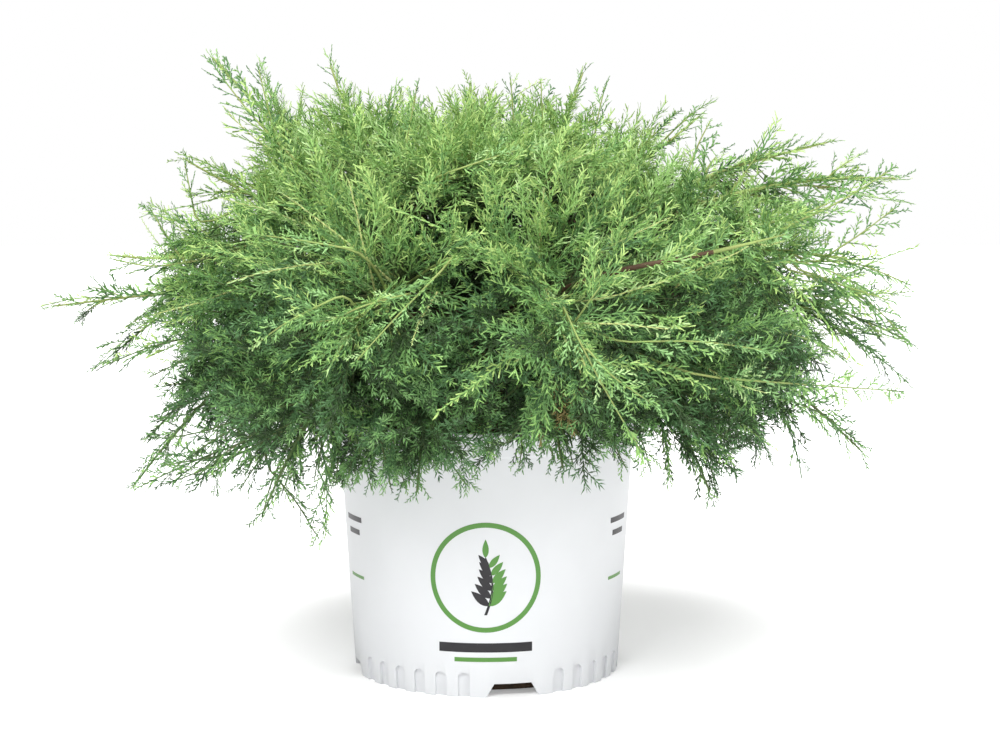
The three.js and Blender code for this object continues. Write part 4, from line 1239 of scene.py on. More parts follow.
greenShoots = [
    # over the pot's rim
    (1.0, [(352, 425, -225), (362, 460, -238), (374, 495, -240)]),
    (1.0, [(362, 430, -215), (352, 460, -225), (346, 488, -225)]),
    (1.0, [(378, 430, -235), (386, 462, -246), (392, 494, -246)]),
    (1.0, [(390, 425, -235), (398, 460, -245), (408, 496, -245)]),
    (1.0, [(432, 425, -240), (448, 460, -252), (470, 490, -250)]),
    (0.9, [(490, 425, -225), (492, 445, -238), (495, 464, -240)]),
    (0.9, [(520, 422, -225), (522, 448, -240), (519, 468, -240)]),
    (0.9, [(544, 425, -230), (550, 448, -242), (557, 466, -244)]),
    (0.9, [(560, 425, -240), (568, 445, -250), (574, 468, -250)]),
    (0.9, [(606, 425, -225), (616, 448, -236), (628, 472, -236)]),
    (0.9, [(632, 420, -215), (644, 445, -225), (652, 474, -225)]),
    # low on the left
    (1.3, [(250, 440, -150), (190, 462, -150), (133, 490, -150)]),
    (1.2, [(225, 455, -160), (185, 462, -160), (160, 466, -160)]),
    (1.1, [(245, 418, -150), (190, 436, -150), (147, 439, -150)]),
    (1.1, [(258, 445, -155), (205, 470, -160), (160, 486, -160)]),
    (1.1, [(240, 425, -175), (200, 448, -180), (172, 470, -180)]),
    (1.1, [(268, 425, -190), (225, 452, -195), (195, 478, -195)]),
    (1.1, [(275, 440, -165), (252, 470, -170), (238, 493, -170)]),
    # at the left edge
    (1.1, [(200, 335, -110), (150, 346, -105), (99, 368, -100)]),
    (1.0, [(205, 350, -120), (172, 366, -115), (146, 379, -110)]),
    # hanging under the crown on the left
    (1.0, [(262, 410, -140), (228, 436, -145), (205, 462, -150)]),
    (1.0, [(290, 410, -175), (262, 440, -180), (246, 474, -185)]),
    (1.0, [(318, 418, -185), (296, 445, -190), (290, 480, -190)]),
    (1.0, [(300, 425, -120), (265, 450, -120), (230, 474, -120)]),
    (1.0, [(330, 430, -170), (318, 455, -170), (314, 482, -170)]),
    (1.0, [(345, 425, -160), (338, 456, -160), (336, 486, -160)]),
    (1.1, [(262, 430, -160), (236, 455, -165), (204, 480, -165)]),
    (1.1, [(305, 430, -170), (290, 470, -175), (280, 500, -175)]),
    (1.2, [(285, 450, -180), (268, 490, -185), (261, 523, -185)]),
    (1.2, [(270, 470, -150), (296, 500, -150), (319, 540, -150)]),
    # level and upright on the left
    (1.1, [(190, 262, -90), (150, 268, -85), (108, 258, -80)]),
    (1.1, [(195, 215, -60), (190, 190, -60), (184, 160, -60)]),
    (1.1, [(175, 250, -60), (160, 225, -60), (148, 205, -60)]),
    # at the right edge
    (1.4, [(790, 225, -120), (845, 200, -110), (896, 166, -100)]),
    (1.2, [(820, 260, -100), (860, 235, -90), (901, 203, -80)]),
    (1.1, [(800, 262, -110), (855, 260, -105), (912, 286, -100)]),
    (1.1, [(790, 270, -120), (845, 286, -115), (897, 303, -110)]),
    (1.2, [(800, 270, -120), (860, 290, -110), (912, 345, -100)]),
    (1.2, [(770, 262, -160), (815, 262, -150), (872, 292, -140)]),
    (1.2, [(770, 330, -150), (815, 340, -140), (852, 362, -135)]),
    (1.2, [(770, 395, -120), (820, 410, -110), (862, 445, -100)]),
    (1.2, [(760, 225, -140), (805, 215, -130), (842, 196, -125)]),
    # hanging on the right
    (1.0, [(700, 440, -140), (712, 470, -140), (718, 502, -140)]),
    # along the top
    (1.5, [(300, 165, -130), (250, 115, -125), (208, 58, -120)]),
    (1.1, [(285, 165, -120), (268, 110, -115), (257, 62, -110)]),
    (1.1, [(372, 150, -60), (388, 118, -55), (392, 86, -50)]),
    (1.1, [(405, 150, -120), (412, 115, -120), (418, 80, -118)]),
    (1.1, [(515, 150, -90), (513, 110, -90), (510, 72, -88)]),
    (1.1, [(545, 145, -60), (542, 110, -60), (541, 78, -58)]),
    (1.1, [(592, 150, -80), (598, 115, -80), (606, 82, -76)]),
    (1.1, [(690, 165, -60), (700, 140, -55), (712, 118, -50)]),
]
shootStem = {"seed": 23, "bend": 0.3, "steps": 4, "shootSteps": 8, "end": 0.94, "tipFrom": 0.8}


def pictured(column, row, y):
    # the place in millimetres that shows at this pixel of the picture and lies at this y
    turned = Euler((-view["lookDown"], 0, 0)).to_matrix()
    focal = view["lens"] / view["sensor"] * view["columns"]
    ray = turned @ Vector(((column - view["columns"] / 2) / focal, 1, (view["rows"] / 2 - row) / focal))
    lens = np.array([view["aside"], -view["away"], view["height"]]) / metre
    return lens + np.array(ray) * (y - lens[1]) / ray[1]


def addLongShoots(laid):
    dice = np.random.default_rng(shootStem["seed"])
    for kind, shoots in (("silver", paleShoots), ("sprig", greenShoots)):
        for radius, joints in shoots:
            joints = np.array([pictured(*joint) for joint in joints])
            line = Bezier(joints[0], joints[1], joints[-2], joints[-1])
            k = int(spanGaps(joints[:1], stemLines)[0].min(2).argmin(1)[0])
            root = twigRoot(joints[0], k)[0]
            # the stem leaves its bough in a bend and runs into the shoot's own line
            bend = joints[0] - line.tangent(0) * np.linalg.norm(joints[0] - root) * shootStem["bend"]
            lead = Bezier(root, bend, joints[0]).line(0, 1, shootStem["steps"])
            stem = np.vstack([lead, line.line(0, shootStem["end"], shootStem["shootSteps"])[1:]])
            limbs[k]["longShoots"].append((kind, radius, stem))
            face = facing(joints[0], dice.random)
            laid[k] += laySprigs(kind, line, line.length(), face, dice)
            reach = joints[-1] - line.at(shootStem["tipFrom"])
            length = min(np.linalg.norm(reach), sprig["longestTip"])
            laid[k].append(plumeAt(kind, joints[-1] - unit(reach) * length, unit(reach), face, length))


# Tones of green: a base colour and the colour that mottles it

leafTones = {
    # inner is painted shade: a near-black green, darker than the leaves' own, for the sprays of the crown's
    # shaded inside
    "inner": ((0.020, 0.040, 0.010), (0.015, 0.030, 0.009)),
    "deep": ((0.036, 0.077, 0.021), (0.028, 0.060, 0.020)),
    "blue": ((0.080, 0.185, 0.063), (0.062, 0.145, 0.055)),
    "mid": ((0.148, 0.300, 0.088), (0.112, 0.245, 0.080)),
    "mist": ((0.250, 0.440, 0.160), (0.195, 0.370, 0.140)),
    "fresh": ((0.255, 0.445, 0.125), (0.200, 0.375, 0.110)),
    "bright": ((0.420, 0.585, 0.185), (0.340, 0.505, 0.155)),
    "pale": ((0.430, 0.610, 0.260), (0.350, 0.530, 0.210)),
    "straw": ((0.480, 0.540, 0.200), (0.420, 0.440, 0.160)),
    "tan": ((0.360, 0.300, 0.115), (0.290, 0.215, 0.085)),
    "husk": ((0.105, 0.048, 0.026), (0.070, 0.034, 0.020)),
}
leafFinish = {"mottle": {"Scale": 45, "Amount": 0.7}, "roughness": 0.52, "specular": 0.35}
dead = {"spots": [(61, -228, 276), (-40, -120, 300), (150, 60, 420)], "around": 36, "share": 0.6}
lowPlace = 300  # height under which shoots and young stems take darker tones: partly the bluer older growth, partly painted shade of the lower crown

# the tones of a plume's body and of its young twiglets, with the share of each pair where they aren't even
tonePairs = {
    # the inside's coarse sprays mostly take inner, the painted shade tone
    "shade": ([("inner", "deep"), ("deep", "blue"), ("husk", "husk")], (0.64, 0.22, 0.14)),
    "awl": ([("deep", "mid"), ("deep", "blue"), ("blue", "mid"), ("blue", "fresh"), ("blue", "mist")],
            (0.48, 0.3, 0.1, 0.05, 0.07)),
    "leader": ([("fresh", "pale"), ("mid", "bright")], (0.5, 0.5)),
    "lowLeader": ([("blue", "mid"), ("blue", "fresh")], (0.5, 0.5)),
    "runner": ([("straw", "pale"), ("fresh", "bright")], (0.4, 0.6)),
    "silver": ([("mid", "mist"), ("mid", "mist"), ("mid", "fresh"), ("mist", "pale")], None),
    "sprig": ([("mid", tone) for tone in ("blue", "mid", "mid", "fresh", "fresh", "bright")], None),
    "lowSprig": ([("blue", tone) for tone in ("deep", "blue", "mid", "mid", "fresh")], None),
    "lightest": ([("fresh", "bright"), ("fresh", "pale")], (0.7, 0.3)),
}
# sprays of scale leaves are lighter the further out and the higher they end, give or take a chance: painted
# top light by height, and by reach partly painted shade inside and partly the paler young growth at the skin
lightness = {"out": 0.7, "outFrom": 0.62, "outOver": 0.38, "up": 1.5, "upFrom": 369, "upOver": 250,
             "chance": 0.28, "steps": [(0.1, ("deep", "blue")), (0.5, ("blue", "fresh")),
                                       (0.85, ("mid", "fresh")), (1.02, ("mid", "bright"))]}


def pickTones(name, dice):
    pairs, shares = tonePairs[name]
    return pairs[dice.choice(len(pairs), p=shares) if shares else dice.integers(len(pairs))]


def tonesOf(kind, place, outward, dice):
    nearestDead = min(np.linalg.norm(place - spot) for spot in dead["spots"])
    if nearestDead < dead["around"] and dice.random() < dead["share"]:
        return "tan", "tan"
    # low leaders and sprigs take darker tones, partly painted shade
    if kind in ("leader", "sprig") and place[2] < lowPlace:
        return pickTones({"leader": "lowLeader", "sprig": "lowSprig"}[kind], dice)
    if kind in tonePairs:
        return pickTones(kind, dice)
    # painted light: higher ends score lighter as if lit from above, and deeper ones darker as if shaded
    score = lightness["out"] * (outward - lightness["outFrom"]) / lightness["outOver"]
    score += lightness["up"] * (place[2] - lightness["upFrom"]) / lightness["upOver"]
    score += dice.normal(0, lightness["chance"])
    for most, tones in lightness["steps"]:
        if score < most:
            return tones
    return pickTones("lightest", dice)


# Leaf pieces: every plume's twiglets, gathered by tone

curving = {"seed": 500, "bend": 0.0011, "droop": -0.2}
pieceLimit = 190000  # triangles


def addPlume(shapes, plume, dice):
    # a pattern picked by chance, as it is or mirrored, and bent along its length
    root, heading, length = plume["root"], plume["heading"], plume["length"]
    pick = int(dice.integers(len(patterns[plume["kind"]])))
    scale = length / plumeLength[plume["kind"]]
    side = unit(np.cross(plume["face"], heading)) * (1 if dice.random() < 0.5 else -1)
    normal = np.cross(heading, side)
    bend = dice.normal(curving["droop"], 1, 2) * curving["bend"] / scale
    end = root + heading * length
    tones = tonesOf(plume["kind"], end, domeShare(end)[0], dice)
    for (local, faces), tone in zip(patterns[plume["kind"]][pick].values(), tones):
        along, across, raised = local[:, :1] * scale, local[:, 1:2] * scale, local[:, 2:] * scale
        bow = along * (length - along)
        places = root + heading * along + side * (across + bend[0] * bow) + normal * (raised + bend[1] * bow)
        shapes[tone].add(places, faces)


def buildFoliage():
    shapes = {tone: Shape() for tone in leafTones}
    for owner in limbs:
        owner["fillTwigs"], owner["longShoots"] = [], []
    laid = [layPlumes(owner) for owner in limbs]
    fillCrown(laid)
    addRunners(laid)
    addLongShoots(laid)
    for owner, plumes in zip(limbs, laid):
        dice = np.random.default_rng(curving["seed"] + owner["index"])
        for plume in plumes:
            addPlume(shapes, plume, dice)
    print("plumes laid:", sum(map(len, laid)))
    print("leaf triangles:", sum(len(form) for shape in shapes.values() for form in shape.faces))
    return shapes


def makeLeaves():
    masses = ["foliage_" + one["name"] for one in limbs]
    for tone, shape in buildFoliage().items():
        paint = makeMaterial("leaf_" + tone, *leafTones[tone], leafFinish)
        for k, (vertices, faces) in enumerate(shape.pieces(pieceLimit)):
            piece = makeObject(f"leaves_{tone}_{k + 1}", vertices, faces, paint, "foliage")
            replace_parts(piece, *masses)
            print("leaves", tone, len(faces))


makeLeaves()
print("foliage made")


# Pot: one turned shell with arched flutes and drainage notches cut into its foot

pot = {
    "height": 240, "rimRadius": 140, "footRadius": 123.6, "wallTopRadius": 138, "wall": 2.2,
    "lipHeight": 7, "lipRound": 1.3, "lipWidth": 3, "bandHeight": 22, "bandProud": 0.7,
    "footRound": 0.8, "lipUnderRound": 0.9, "lipInsideRound": 0.6,
    "footRing": 5, "skirtHeight": 30, "skirtStep": 4, "floorUnder": 3, "floorTop": 5.6,
    "sides": 168, "soften": 0.45, "softenOver": math.radians(38), "sharpOver": math.radians(34), "overcut": 4,
    "colour": (0.74, 0.75, 0.77), "patch": (0.70, 0.71, 0.73),
    "finish": {"mottle": {"Scale": 9, "Amount": 0.5}, "roughness": 0.42, "specular": 0.5,
               "grain": {"Scale": 900, "Stretch": (1, 1, 1), "Depth": 0.0001, "Strength": 0.25}},
}
drain = {"count": 4, "first": -78.6, "bottomWidth": 52, "topWidth": 34, "height": 12.5, "inward": 16}
flute = {"perQuarter": 6, "first": 20.4, "width": 11, "height": 23, "depth": 3.2, "archSteps": 14}
wallTaper = (pot["wallTopRadius"] - pot["footRadius"]) / pot["height"]


def wallRadius(height):
    return pot["footRadius"] + wallTaper * height


def arc(middle, radius, start, end, steps):
    angles = np.radians(np.linspace(start, end, steps + 1))
    return [(middle[0] + radius * math.cos(a), middle[1] + radius * math.sin(a)) for a in angles]


def lathe(profile, sides):
    # turns an outline of (radius, height) points, which starts and ends on the axis
    ring = profile[1:-1]
    angles = np.linspace(0, 2 * math.pi, sides, endpoint=False)
    vertices = [(r * math.cos(a), r * math.sin(a), z) for r, z in ring for a in angles]
    vertices += [(0, 0, profile[0][1]), (0, 0, profile[-1][1])]
    faces = []
    for j in range(sides):
        after = (j + 1) % sides
        faces.append((len(vertices) - 2, after, j))
        top = (len(ring) - 1) * sides
        faces.append((top + j, top + after, len(vertices) - 1))
        for k in range(len(ring) - 1):
            low = k * sides
            faces.append((low + j, low + after, low + sides + after, low + sides + j))
    return vertices, faces


def potProfile():
    # half of the pot's section, from the floor's underside round the wall and lip to its upper side
    band = pot["height"] - pot["bandHeight"]
    lip = pot["height"] - pot["lipHeight"]
    skirt = pot["footRadius"] - pot["footRing"]
    proud = pot["bandProud"]
    foot, under, over, inside = pot["footRound"], pot["lipUnderRound"], pot["lipRound"], pot["lipInsideRound"]
    profile = [(0, pot["floorUnder"]), (skirt - 1.5, pot["floorUnder"]), (skirt - 0.4, 0.5), (skirt + 0.2, 0)]
    profile += arc((pot["footRadius"] - foot, foot), foot, -90, 0, 4)
    profile += [(wallRadius(z), z) for z in np.linspace(6, band - 1.2, 9)]
    profile += [(wallRadius(band) + 0.1, band - 0.3), (wallRadius(band) + 0.55, band + 0.2)]
    profile += [(wallRadius(z) + proud, z) for z in (band + 1, lip - 0.8)]
    profile += [(wallRadius(lip) + 1.0, lip - 0.1)]
    profile += arc((pot["rimRadius"] - under, lip + under), under, -90, 0, 4)
    profile += arc((pot["rimRadius"] - over, pot["height"] - over), over, 0, 90, 5)
    profile += arc((pot["rimRadius"] - pot["lipWidth"] + inside, pot["height"] - inside), inside, 90, 180, 3)
    profile += [(wallRadius(z) - pot["wall"], z) for z in (lip, pot["skirtHeight"])]
    profile += [(skirt, z) for z in (pot["skirtHeight"] - pot["skirtStep"], pot["floorTop"])]
    profile += [(0, pot["floorTop"])]
    return profile


def wallCutter(section, start, lean, bearing):
    # an upright outline of (across, height), pushed out through the wall from this distance off the axis
    turn = math.radians(bearing)
    vertices = []
    for reach in (0, pot["footRadius"] + pot["overcut"] - start):
        for across, height in section:
            x = start + reach * math.cos(lean) + height * math.sin(lean)
            z = height * math.cos(lean) - reach * math.sin(lean)
            vertices.append((x * math.cos(turn) - across * math.sin(turn),
                             x * math.sin(turn) + across * math.cos(turn), z))
    many = len(section)
    faces = [tuple(range(many))[::-1], tuple(range(many, 2 * many))]
    faces += [(k, (k + 1) % many, many + (k + 1) % many, many + k) for k in range(many)]
    return vertices, faces


def footCutters():
    below = -pot["overcut"]
    half = flute["width"] / 2
    arch = arc((0, flute["height"] - half), half, 0, 180, flute["archSteps"])
    fluteSection = [(-half, below), (half, below), *arch]
    low, high = drain["bottomWidth"] / 2, drain["topWidth"] / 2
    drainSection = [(-low, below), (low, below), (high, drain["height"]), (-high, drain["height"])]
    quarter = 360 / drain["count"]
    step = (quarter - 2 * flute["first"]) / (flute["perQuarter"] - 1)
    cuts = []
    for k in range(drain["count"]):
        bearing = drain["first"] + k * quarter
        cuts.append(wallCutter(drainSection, pot["footRadius"] - drain["inward"], 0, bearing))
        for j in range(flute["perQuarter"]):
            cuts.append(wallCutter(fluteSection, pot["footRadius"] - flute["depth"], math.atan(wallTaper),
                                   bearing + flute["first"] + j * step))
    vertices, faces = [], []
    for cutVertices, cutFaces in cuts:
        faces += [tuple(k + len(vertices) for k in face) for face in cutFaces]
        vertices += cutVertices
    return vertices, faces


def applyModifiers(thing):
    graph = bpy.context.evaluated_depsgraph_get()
    mesh = bpy.data.meshes.new_from_object(thing.evaluated_get(graph))
    thing.modifiers.clear()
    thing.data = mesh


def makePot():
    white = makeMaterial("pot_plastic", pot["colour"], pot["patch"], pot["finish"])
    piece = makeObject("pot_shell", *lathe(potProfile(), pot["sides"]), white, "pot")
    cutter = makeObject("foot_cutters", *footCutters(), white, "pot", smooth=False)
    cut = piece.modifiers.new("cut", "BOOLEAN")
    cut.operation = "DIFFERENCE"
    cut.solver = "EXACT"
    cut.object = cutter
    soften = piece.modifiers.new("soften", "BEVEL")
    soften.width = pot["soften"] * metre
    soften.segments = 2
    soften.limit_method = "ANGLE"
    soften.angle_limit = pot["softenOver"]
    soften.harden_normals = False
    applyModifiers(piece)
    bpy.data.objects.remove(cutter)
    piece.data.set_sharp_from_angle(angle=pot["sharpOver"])
    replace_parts(piece, "pot")


makePot()
print("pot made")


# Print on the pot: a ring round a sprig over two bars, and small bars on either side

printed = {
    "proud": 0.14,
    "sunk": 0.05,
    "step": 3.0,
    "inks": {"green": (0.092, 0.262, 0.045), "dark": (0.016, 0.014, 0.018)},
    "fade": (0.9, 0.02),
    "finish": {"mottle": {"Scale": 60, "Amount": 0.4}, "roughness": 0.38, "specular": 0.4},
    "faces": (-90, 90),  # bearings of the two emblems
    "ring": {"height": 110, "outer": 50, "inner": 45.5, "steps": 96},
    "bars": [("dark", 46, 84, 8.5), ("green", 35, 56, 4)],
    "sides": (-24, 204),
    "sideBars": [("dark", 150, 34, 5), ("dark", 138, 24, 5), ("green", 96, 30, 3)],
}
emblem = {"foot": 76, "top": 145, "steps": 13, "lean": 6, "stem": 2.6, "stemTip": 0.45, "pairs": 6,
          "pairsFrom": 0.16, "pairsOver": 0.8, "leaf": 21, "leafWidth": 7.6, "leafSteps": 10,
          "leafSizes": (1.05, 0.65), "slopes": (52, 36), "endLeaf": (0.8, 0.75)}


def onWall(across, height, bearing, proud):
    turn = math.radians(bearing) + across / wallRadius(height)
    radius = wallRadius(height) + proud
    return (radius * math.cos(turn), radius * math.sin(turn), height)


def printStrip(shape, left, right, bearing):
    # a printed strip between two edge lines of (across, height) points, a hair proud of the wall
    sunk, proud = -printed["sunk"], printed["proud"]
    vertices = [onWall(*place, bearing, rise) for a, b in zip(left, right)
                for place, rise in ((a, sunk), (a, proud), (b, proud), (b, sunk))]
    last = len(vertices) - 4
    faces = []
    for k in range(0, last, 4):
        for a in (k, k + 1, k + 2):
            faces += [(a, a + 1, a + 5), (a, a + 5, a + 4)]
    faces += [(0, 2, 1), (0, 3, 2), (last, last + 1, last + 2), (last, last + 2, last + 3)]
    shape.add(vertices, faces)


def printBars(shapes, bars, bearing):
    for ink, height, width, thick in bars:
        across = np.linspace(-width / 2, width / 2, math.ceil(width / printed["step"]) + 1)
        low, high = ([(x, height + side * thick / 2) for x in across] for side in (-1, 1))
        printStrip(shapes[ink], high, low, bearing)


def printRing(shape, bearing):
    ring = printed["ring"]
    angles = np.linspace(0, 2 * math.pi, ring["steps"] + 1)
    outer, inner = ([(radius * math.sin(a), ring["height"] + radius * math.cos(a)) for a in angles]
                    for radius in (ring["outer"], ring["inner"]))
    printStrip(shape, outer, inner, bearing)


def printLeaf(shape, root, angle, length, width, bearing):
    # a leaf with a pointed tip, along a direction from its root
    share = np.linspace(0, 1, emblem["leafSteps"] + 1)[:, None]
    half = width / 2 * np.sin(math.pi * share ** 0.8) ** 0.9
    along = np.array([math.sin(angle), math.cos(angle)])
    beside = np.array([along[1], -along[0]])
    middle = np.array(root) + share * length * along
    printStrip(shape, middle - half * beside, middle + half * beside, bearing)


def printSprig(shapes, bearing):
    leaf, leafWidth = emblem["leaf"], emblem["leafWidth"]
    share = np.linspace(0, 1, emblem["steps"] + 1)
    heights = np.linspace(emblem["foot"], emblem["top"] - leaf * emblem["endLeaf"][0], len(share))
    bend = emblem["lean"] * np.sin(math.pi * share)
    half = emblem["stem"] / 2 * between((1, emblem["stemTip"]), share)
    edges = [np.stack([bend + side * half, heights], 1) for side in (-1, 1)]
    printStrip(shapes["dark"], *edges, bearing)
    for k in range(emblem["pairs"]):
        place = emblem["pairsFrom"] + emblem["pairsOver"] * k / emblem["pairs"]
        root = (np.interp(place, share, bend), np.interp(place, share, heights))
        size = between(emblem["leafSizes"], place)
        for hand, ink in ((-1, "dark"), (1, "green")):
            angle = hand * math.radians(between(emblem["slopes"], place))
            printLeaf(shapes[ink], root, angle, leaf * size, leafWidth * size, bearing)
    longer, wider = emblem["endLeaf"]
    printLeaf(shapes["green"], (bend[-1], heights[-1]), 0, leaf * longer, leafWidth * wider, bearing)


def makePrint():
    shapes = {ink: Shape() for ink in printed["inks"]}
    for bearing in printed["faces"]:
        printRing(shapes["green"], bearing)
        printSprig(shapes, bearing)
        printBars(shapes, printed["bars"], bearing)
    for bearing in printed["sides"]:
        printBars(shapes, printed["sideBars"], bearing)
    keep, lift = printed["fade"]
    for ink, shape in shapes.items():
        colour = printed["inks"][ink]
        faded = [keep * part + lift for part in colour]
        paint = makeMaterial("print_" + ink, colour, faded, printed["finish"])
        makeObject("print_" + ink, *shape.arrays(), paint, "pot", smooth=False)


makePrint()
print("print laid on the pot")


# Potting mix: a lumpy bed with bark chips on it

mix = {
    "top": 219, "lump": 3.5, "level": 34, "levelFade": 25, "gap": 0.4, "rings": 44, "sides": 128,
    "skirtTop": 25.7, "wallFrom": 30, "bottom": 5.9,
    "waves": [(0.045, 0.4), (0.083, 1.9), (0.17, 3.1), (0.31, 0.7), (0.55, 2.2)],  # radians a mm, and phase
    "colour": (0.050, 0.030, 0.018), "patch": (0.022, 0.014, 0.010),
    "finish": {"mottle": {"Scale": 160, "Amount": 0.9}, "roughness": 0.95, "specular": 0.15,
               "grain": {"Scale": 650, "Stretch": (1, 1, 1), "Depth": 0.0018, "Strength": 0.8}},
}
chips = {
    "count": 760, "seed": 77, "clear": 23, "reach": 128, "size": [(4, 15), (2.5, 7), (1.0, 3.0)],
    "uneven": 0.35, "tilt": 0.22, "roll": 0.3, "raised": 0.55, "brownShare": 0.72,
    "colours": {"brown": ((0.120, 0.062, 0.032), (0.060, 0.032, 0.020)),
                "tan": ((0.230, 0.135, 0.070), (0.140, 0.078, 0.042))},
    "finish": {"mottle": {"Scale": 220, "Amount": 0.9}, "roughness": 0.9, "specular": 0.2,
               "grain": {"Scale": 700, "Stretch": (1, 0.3, 1), "Depth": 0.0006, "Strength": 0.6}},
}


def mixInner(height):
    return wallRadius(height) - pot["wall"] - mix["gap"]


def mixHeight(x, y):
    # soft lumps that die out where the mix is level round the stem
    lumps = sum(math.sin(x * f + p) * math.sin(y * f * 1.13 + 2.1 * p) / n
                for n, (f, p) in enumerate(mix["waves"], 1))
    away = min(1, max(0, (math.hypot(x, y) - mix["level"]) / mix["levelFade"]))
    return mix["top"] - mix["lump"] * away * min(1, max(0, 0.5 + 0.38 * lumps))


def makeMix():
    skirt = pot["footRadius"] - pot["footRing"] - mix["gap"]
    edge = mix["top"] - 2 * mix["lump"]
    profile = [(0, mix["bottom"]), (skirt, mix["bottom"]), (skirt, mix["skirtTop"])]
    profile += [(mixInner(z), z) for z in np.linspace(mix["wallFrom"], edge, 6)]
    wallEnd = len(profile) - 1
    # the rings of the top get their heights below
    profile += [(radius, edge) for radius in np.linspace(mixInner(edge) - 4, 0, mix["rings"])[:-1]]
    vertices, faces = lathe([*profile, (0, mix["top"])], mix["sides"])
    first = wallEnd * mix["sides"]
    for k, (x, y, z) in enumerate(vertices[first:-2], first):
        vertices[k] = (x, y, mixHeight(x, y))
    soil = makeMaterial("potting_mix", mix["colour"], mix["patch"], mix["finish"])
    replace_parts(makeObject("mix_bed", vertices, faces, soil, "potting_mix"), "potting_mix")


def makeChips():
    # small uneven blocks strewn on the mix at every turn and a slight tilt
    dice = np.random.default_rng(chips["seed"])
    shapes = {tone: Shape() for tone in chips["colours"]}
    block = np.array([(a, b, c) for a in (-1, 1) for b in (-1, 1) for c in (-1, 1)], float)
    faces = [(0, 1, 3), (0, 3, 2), (4, 6, 7), (4, 7, 5), (0, 4, 5), (0, 5, 1),
             (2, 3, 7), (2, 7, 6), (0, 2, 6), (0, 6, 4), (1, 5, 7), (1, 7, 3)]
    for k in range(chips["count"]):
        reach = math.sqrt(dice.uniform((chips["clear"] / chips["reach"]) ** 2, 1)) * chips["reach"]
        turn = dice.uniform(0, 2 * math.pi)
        x, y = reach * math.cos(turn), reach * math.sin(turn)
        size = [dice.uniform(*limits) / 2 for limits in chips["size"]]
        corners = block + dice.uniform(-chips["uneven"], chips["uneven"], block.shape)
        yaw = dice.uniform(0, 2 * math.pi)
        tilt, roll = dice.normal(0, chips["tilt"]), dice.normal(0, chips["roll"])
        turned = np.array(Euler((roll, tilt, yaw)).to_matrix())
        height = mixHeight(x, y) + size[2] * chips["raised"]
        tone = "brown" if dice.random() < chips["brownShare"] else "tan"
        shapes[tone].add((corners * size) @ turned.T + (x, y, height), faces)
    for tone, shape in shapes.items():
        paint = makeMaterial("chips_" + tone, *chips["colours"][tone], chips["finish"])
        makeObject("chips_" + tone, *shape.arrays(), paint, "potting_mix", smooth=False)


makeMix()
makeChips()
print("potting mix and bark chips made")


# Trunk and boughs: shredding bark in long ridges

bark = {
    "trunkSides": 40, "boughSides": 16, "ring": 2.6, "trunkSize": 0.97, "trunkRelief": 0.8,
    "wander": 0.9, "wanderOver": (14, 26), "twist": 0.02, "swellOver": 9,
    "ridges": (5, 9, 14), "relief": (0.055, 0.04, 0.025), "collar": 0.45, "collarFade": 2.2,
    "collarLength": 0.09,
    "colour": (0.150, 0.072, 0.042), "patch": (0.062, 0.033, 0.024),
    "finish": {"mottle": {"Scale": 90, "Amount": 0.85}, "roughness": 0.85, "specular": 0.2,
               "grain": {"Scale": 420, "Stretch": (1, 1, 0.3), "Depth": 0.0012, "Strength": 0.7}},
}
barkSeeds = {"trunk": 1, "bough": 20, "stem": 60, "shoot": 99}


def barkTube(points, radii, sides, seed, relief=1.0):
    # a tube whose skin rises and falls in long strips that split and wander
    vertices, faces = tube(points, radii, sides)
    dice = np.random.default_rng(seed)
    travelled = np.concatenate([[0], np.cumsum(np.linalg.norm(np.diff(points, axis=0), axis=1))])
    angle = np.linspace(0, 2 * math.pi, sides, endpoint=False)[None]
    along = travelled[:, None]
    rise = np.zeros((len(points), sides))
    for ridges, depth in zip(bark["ridges"], bark["relief"]):
        start, drift = dice.uniform(0, 6.28, 2)
        wander = bark["wander"] * np.sin(along / dice.uniform(*bark["wanderOver"]) + drift)
        wander = wander + bark["twist"] * along * dice.choice([-1, 1])
        swell = 0.7 + 0.5 * np.sin(along / bark["swellOver"] + start)
        rise += depth * np.sin(ridges * angle + start + wander) * swell
    rings = vertices[:rise.size].reshape(len(points), sides, 3)
    middles = np.asarray(points)[:, None]
    vertices[:rise.size] = (middles + (rings - middles) * (1 + relief * rise)[..., None]).reshape(-1, 3)
    return vertices, faces


def trunkRadius(share):
    flare = (trunk["footRadius"] - trunk["neckRadius"]) * (1 - share) ** 5
    return flare + between((trunk["neckRadius"], trunk["forkRadius"]), share)


def makeBoughs():
    shape = Shape()
    share = np.linspace(0, 1, round(trunk["height"] / bark["ring"]) + 1)
    shape.add(*barkTube(trunkLine.at(share), trunkRadius(share) * bark["trunkSize"], bark["trunkSides"],
                        barkSeeds["trunk"], bark["trunkRelief"]))
    for one in limbs:
        steps = round(one["length"] * one["bare"] / bark["ring"])
        share = np.linspace(0, 1, steps + 1)
        radii = between((one["rootRadius"], limb["endRadius"]), share)
        # a collar where the bough leaves what carries it
        fade = share * one["bare"] / bark["collarLength"] * bark["collarFade"]
        radii = radii * (1 + bark["collar"] * np.exp(-fade))
        points = one["curve"].at(share * one["bare"])
        shape.add(*barkTube(points, radii, bark["boughSides"], barkSeeds["bough"] + one["index"]))
    paint = makeMaterial("bark", bark["colour"], bark["patch"], bark["finish"])
    vertices, faces = shape.arrays()
    piece = makeObject("trunk_and_boughs", vertices, faces, paint, "bark")
    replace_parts(piece, "trunk", *["bough_" + one["name"] for one in limbs])
    print("trunk and boughs made:", len(faces))


makeBoughs()


# Stems inside the foliage, and the stems of its twigs and long shoots

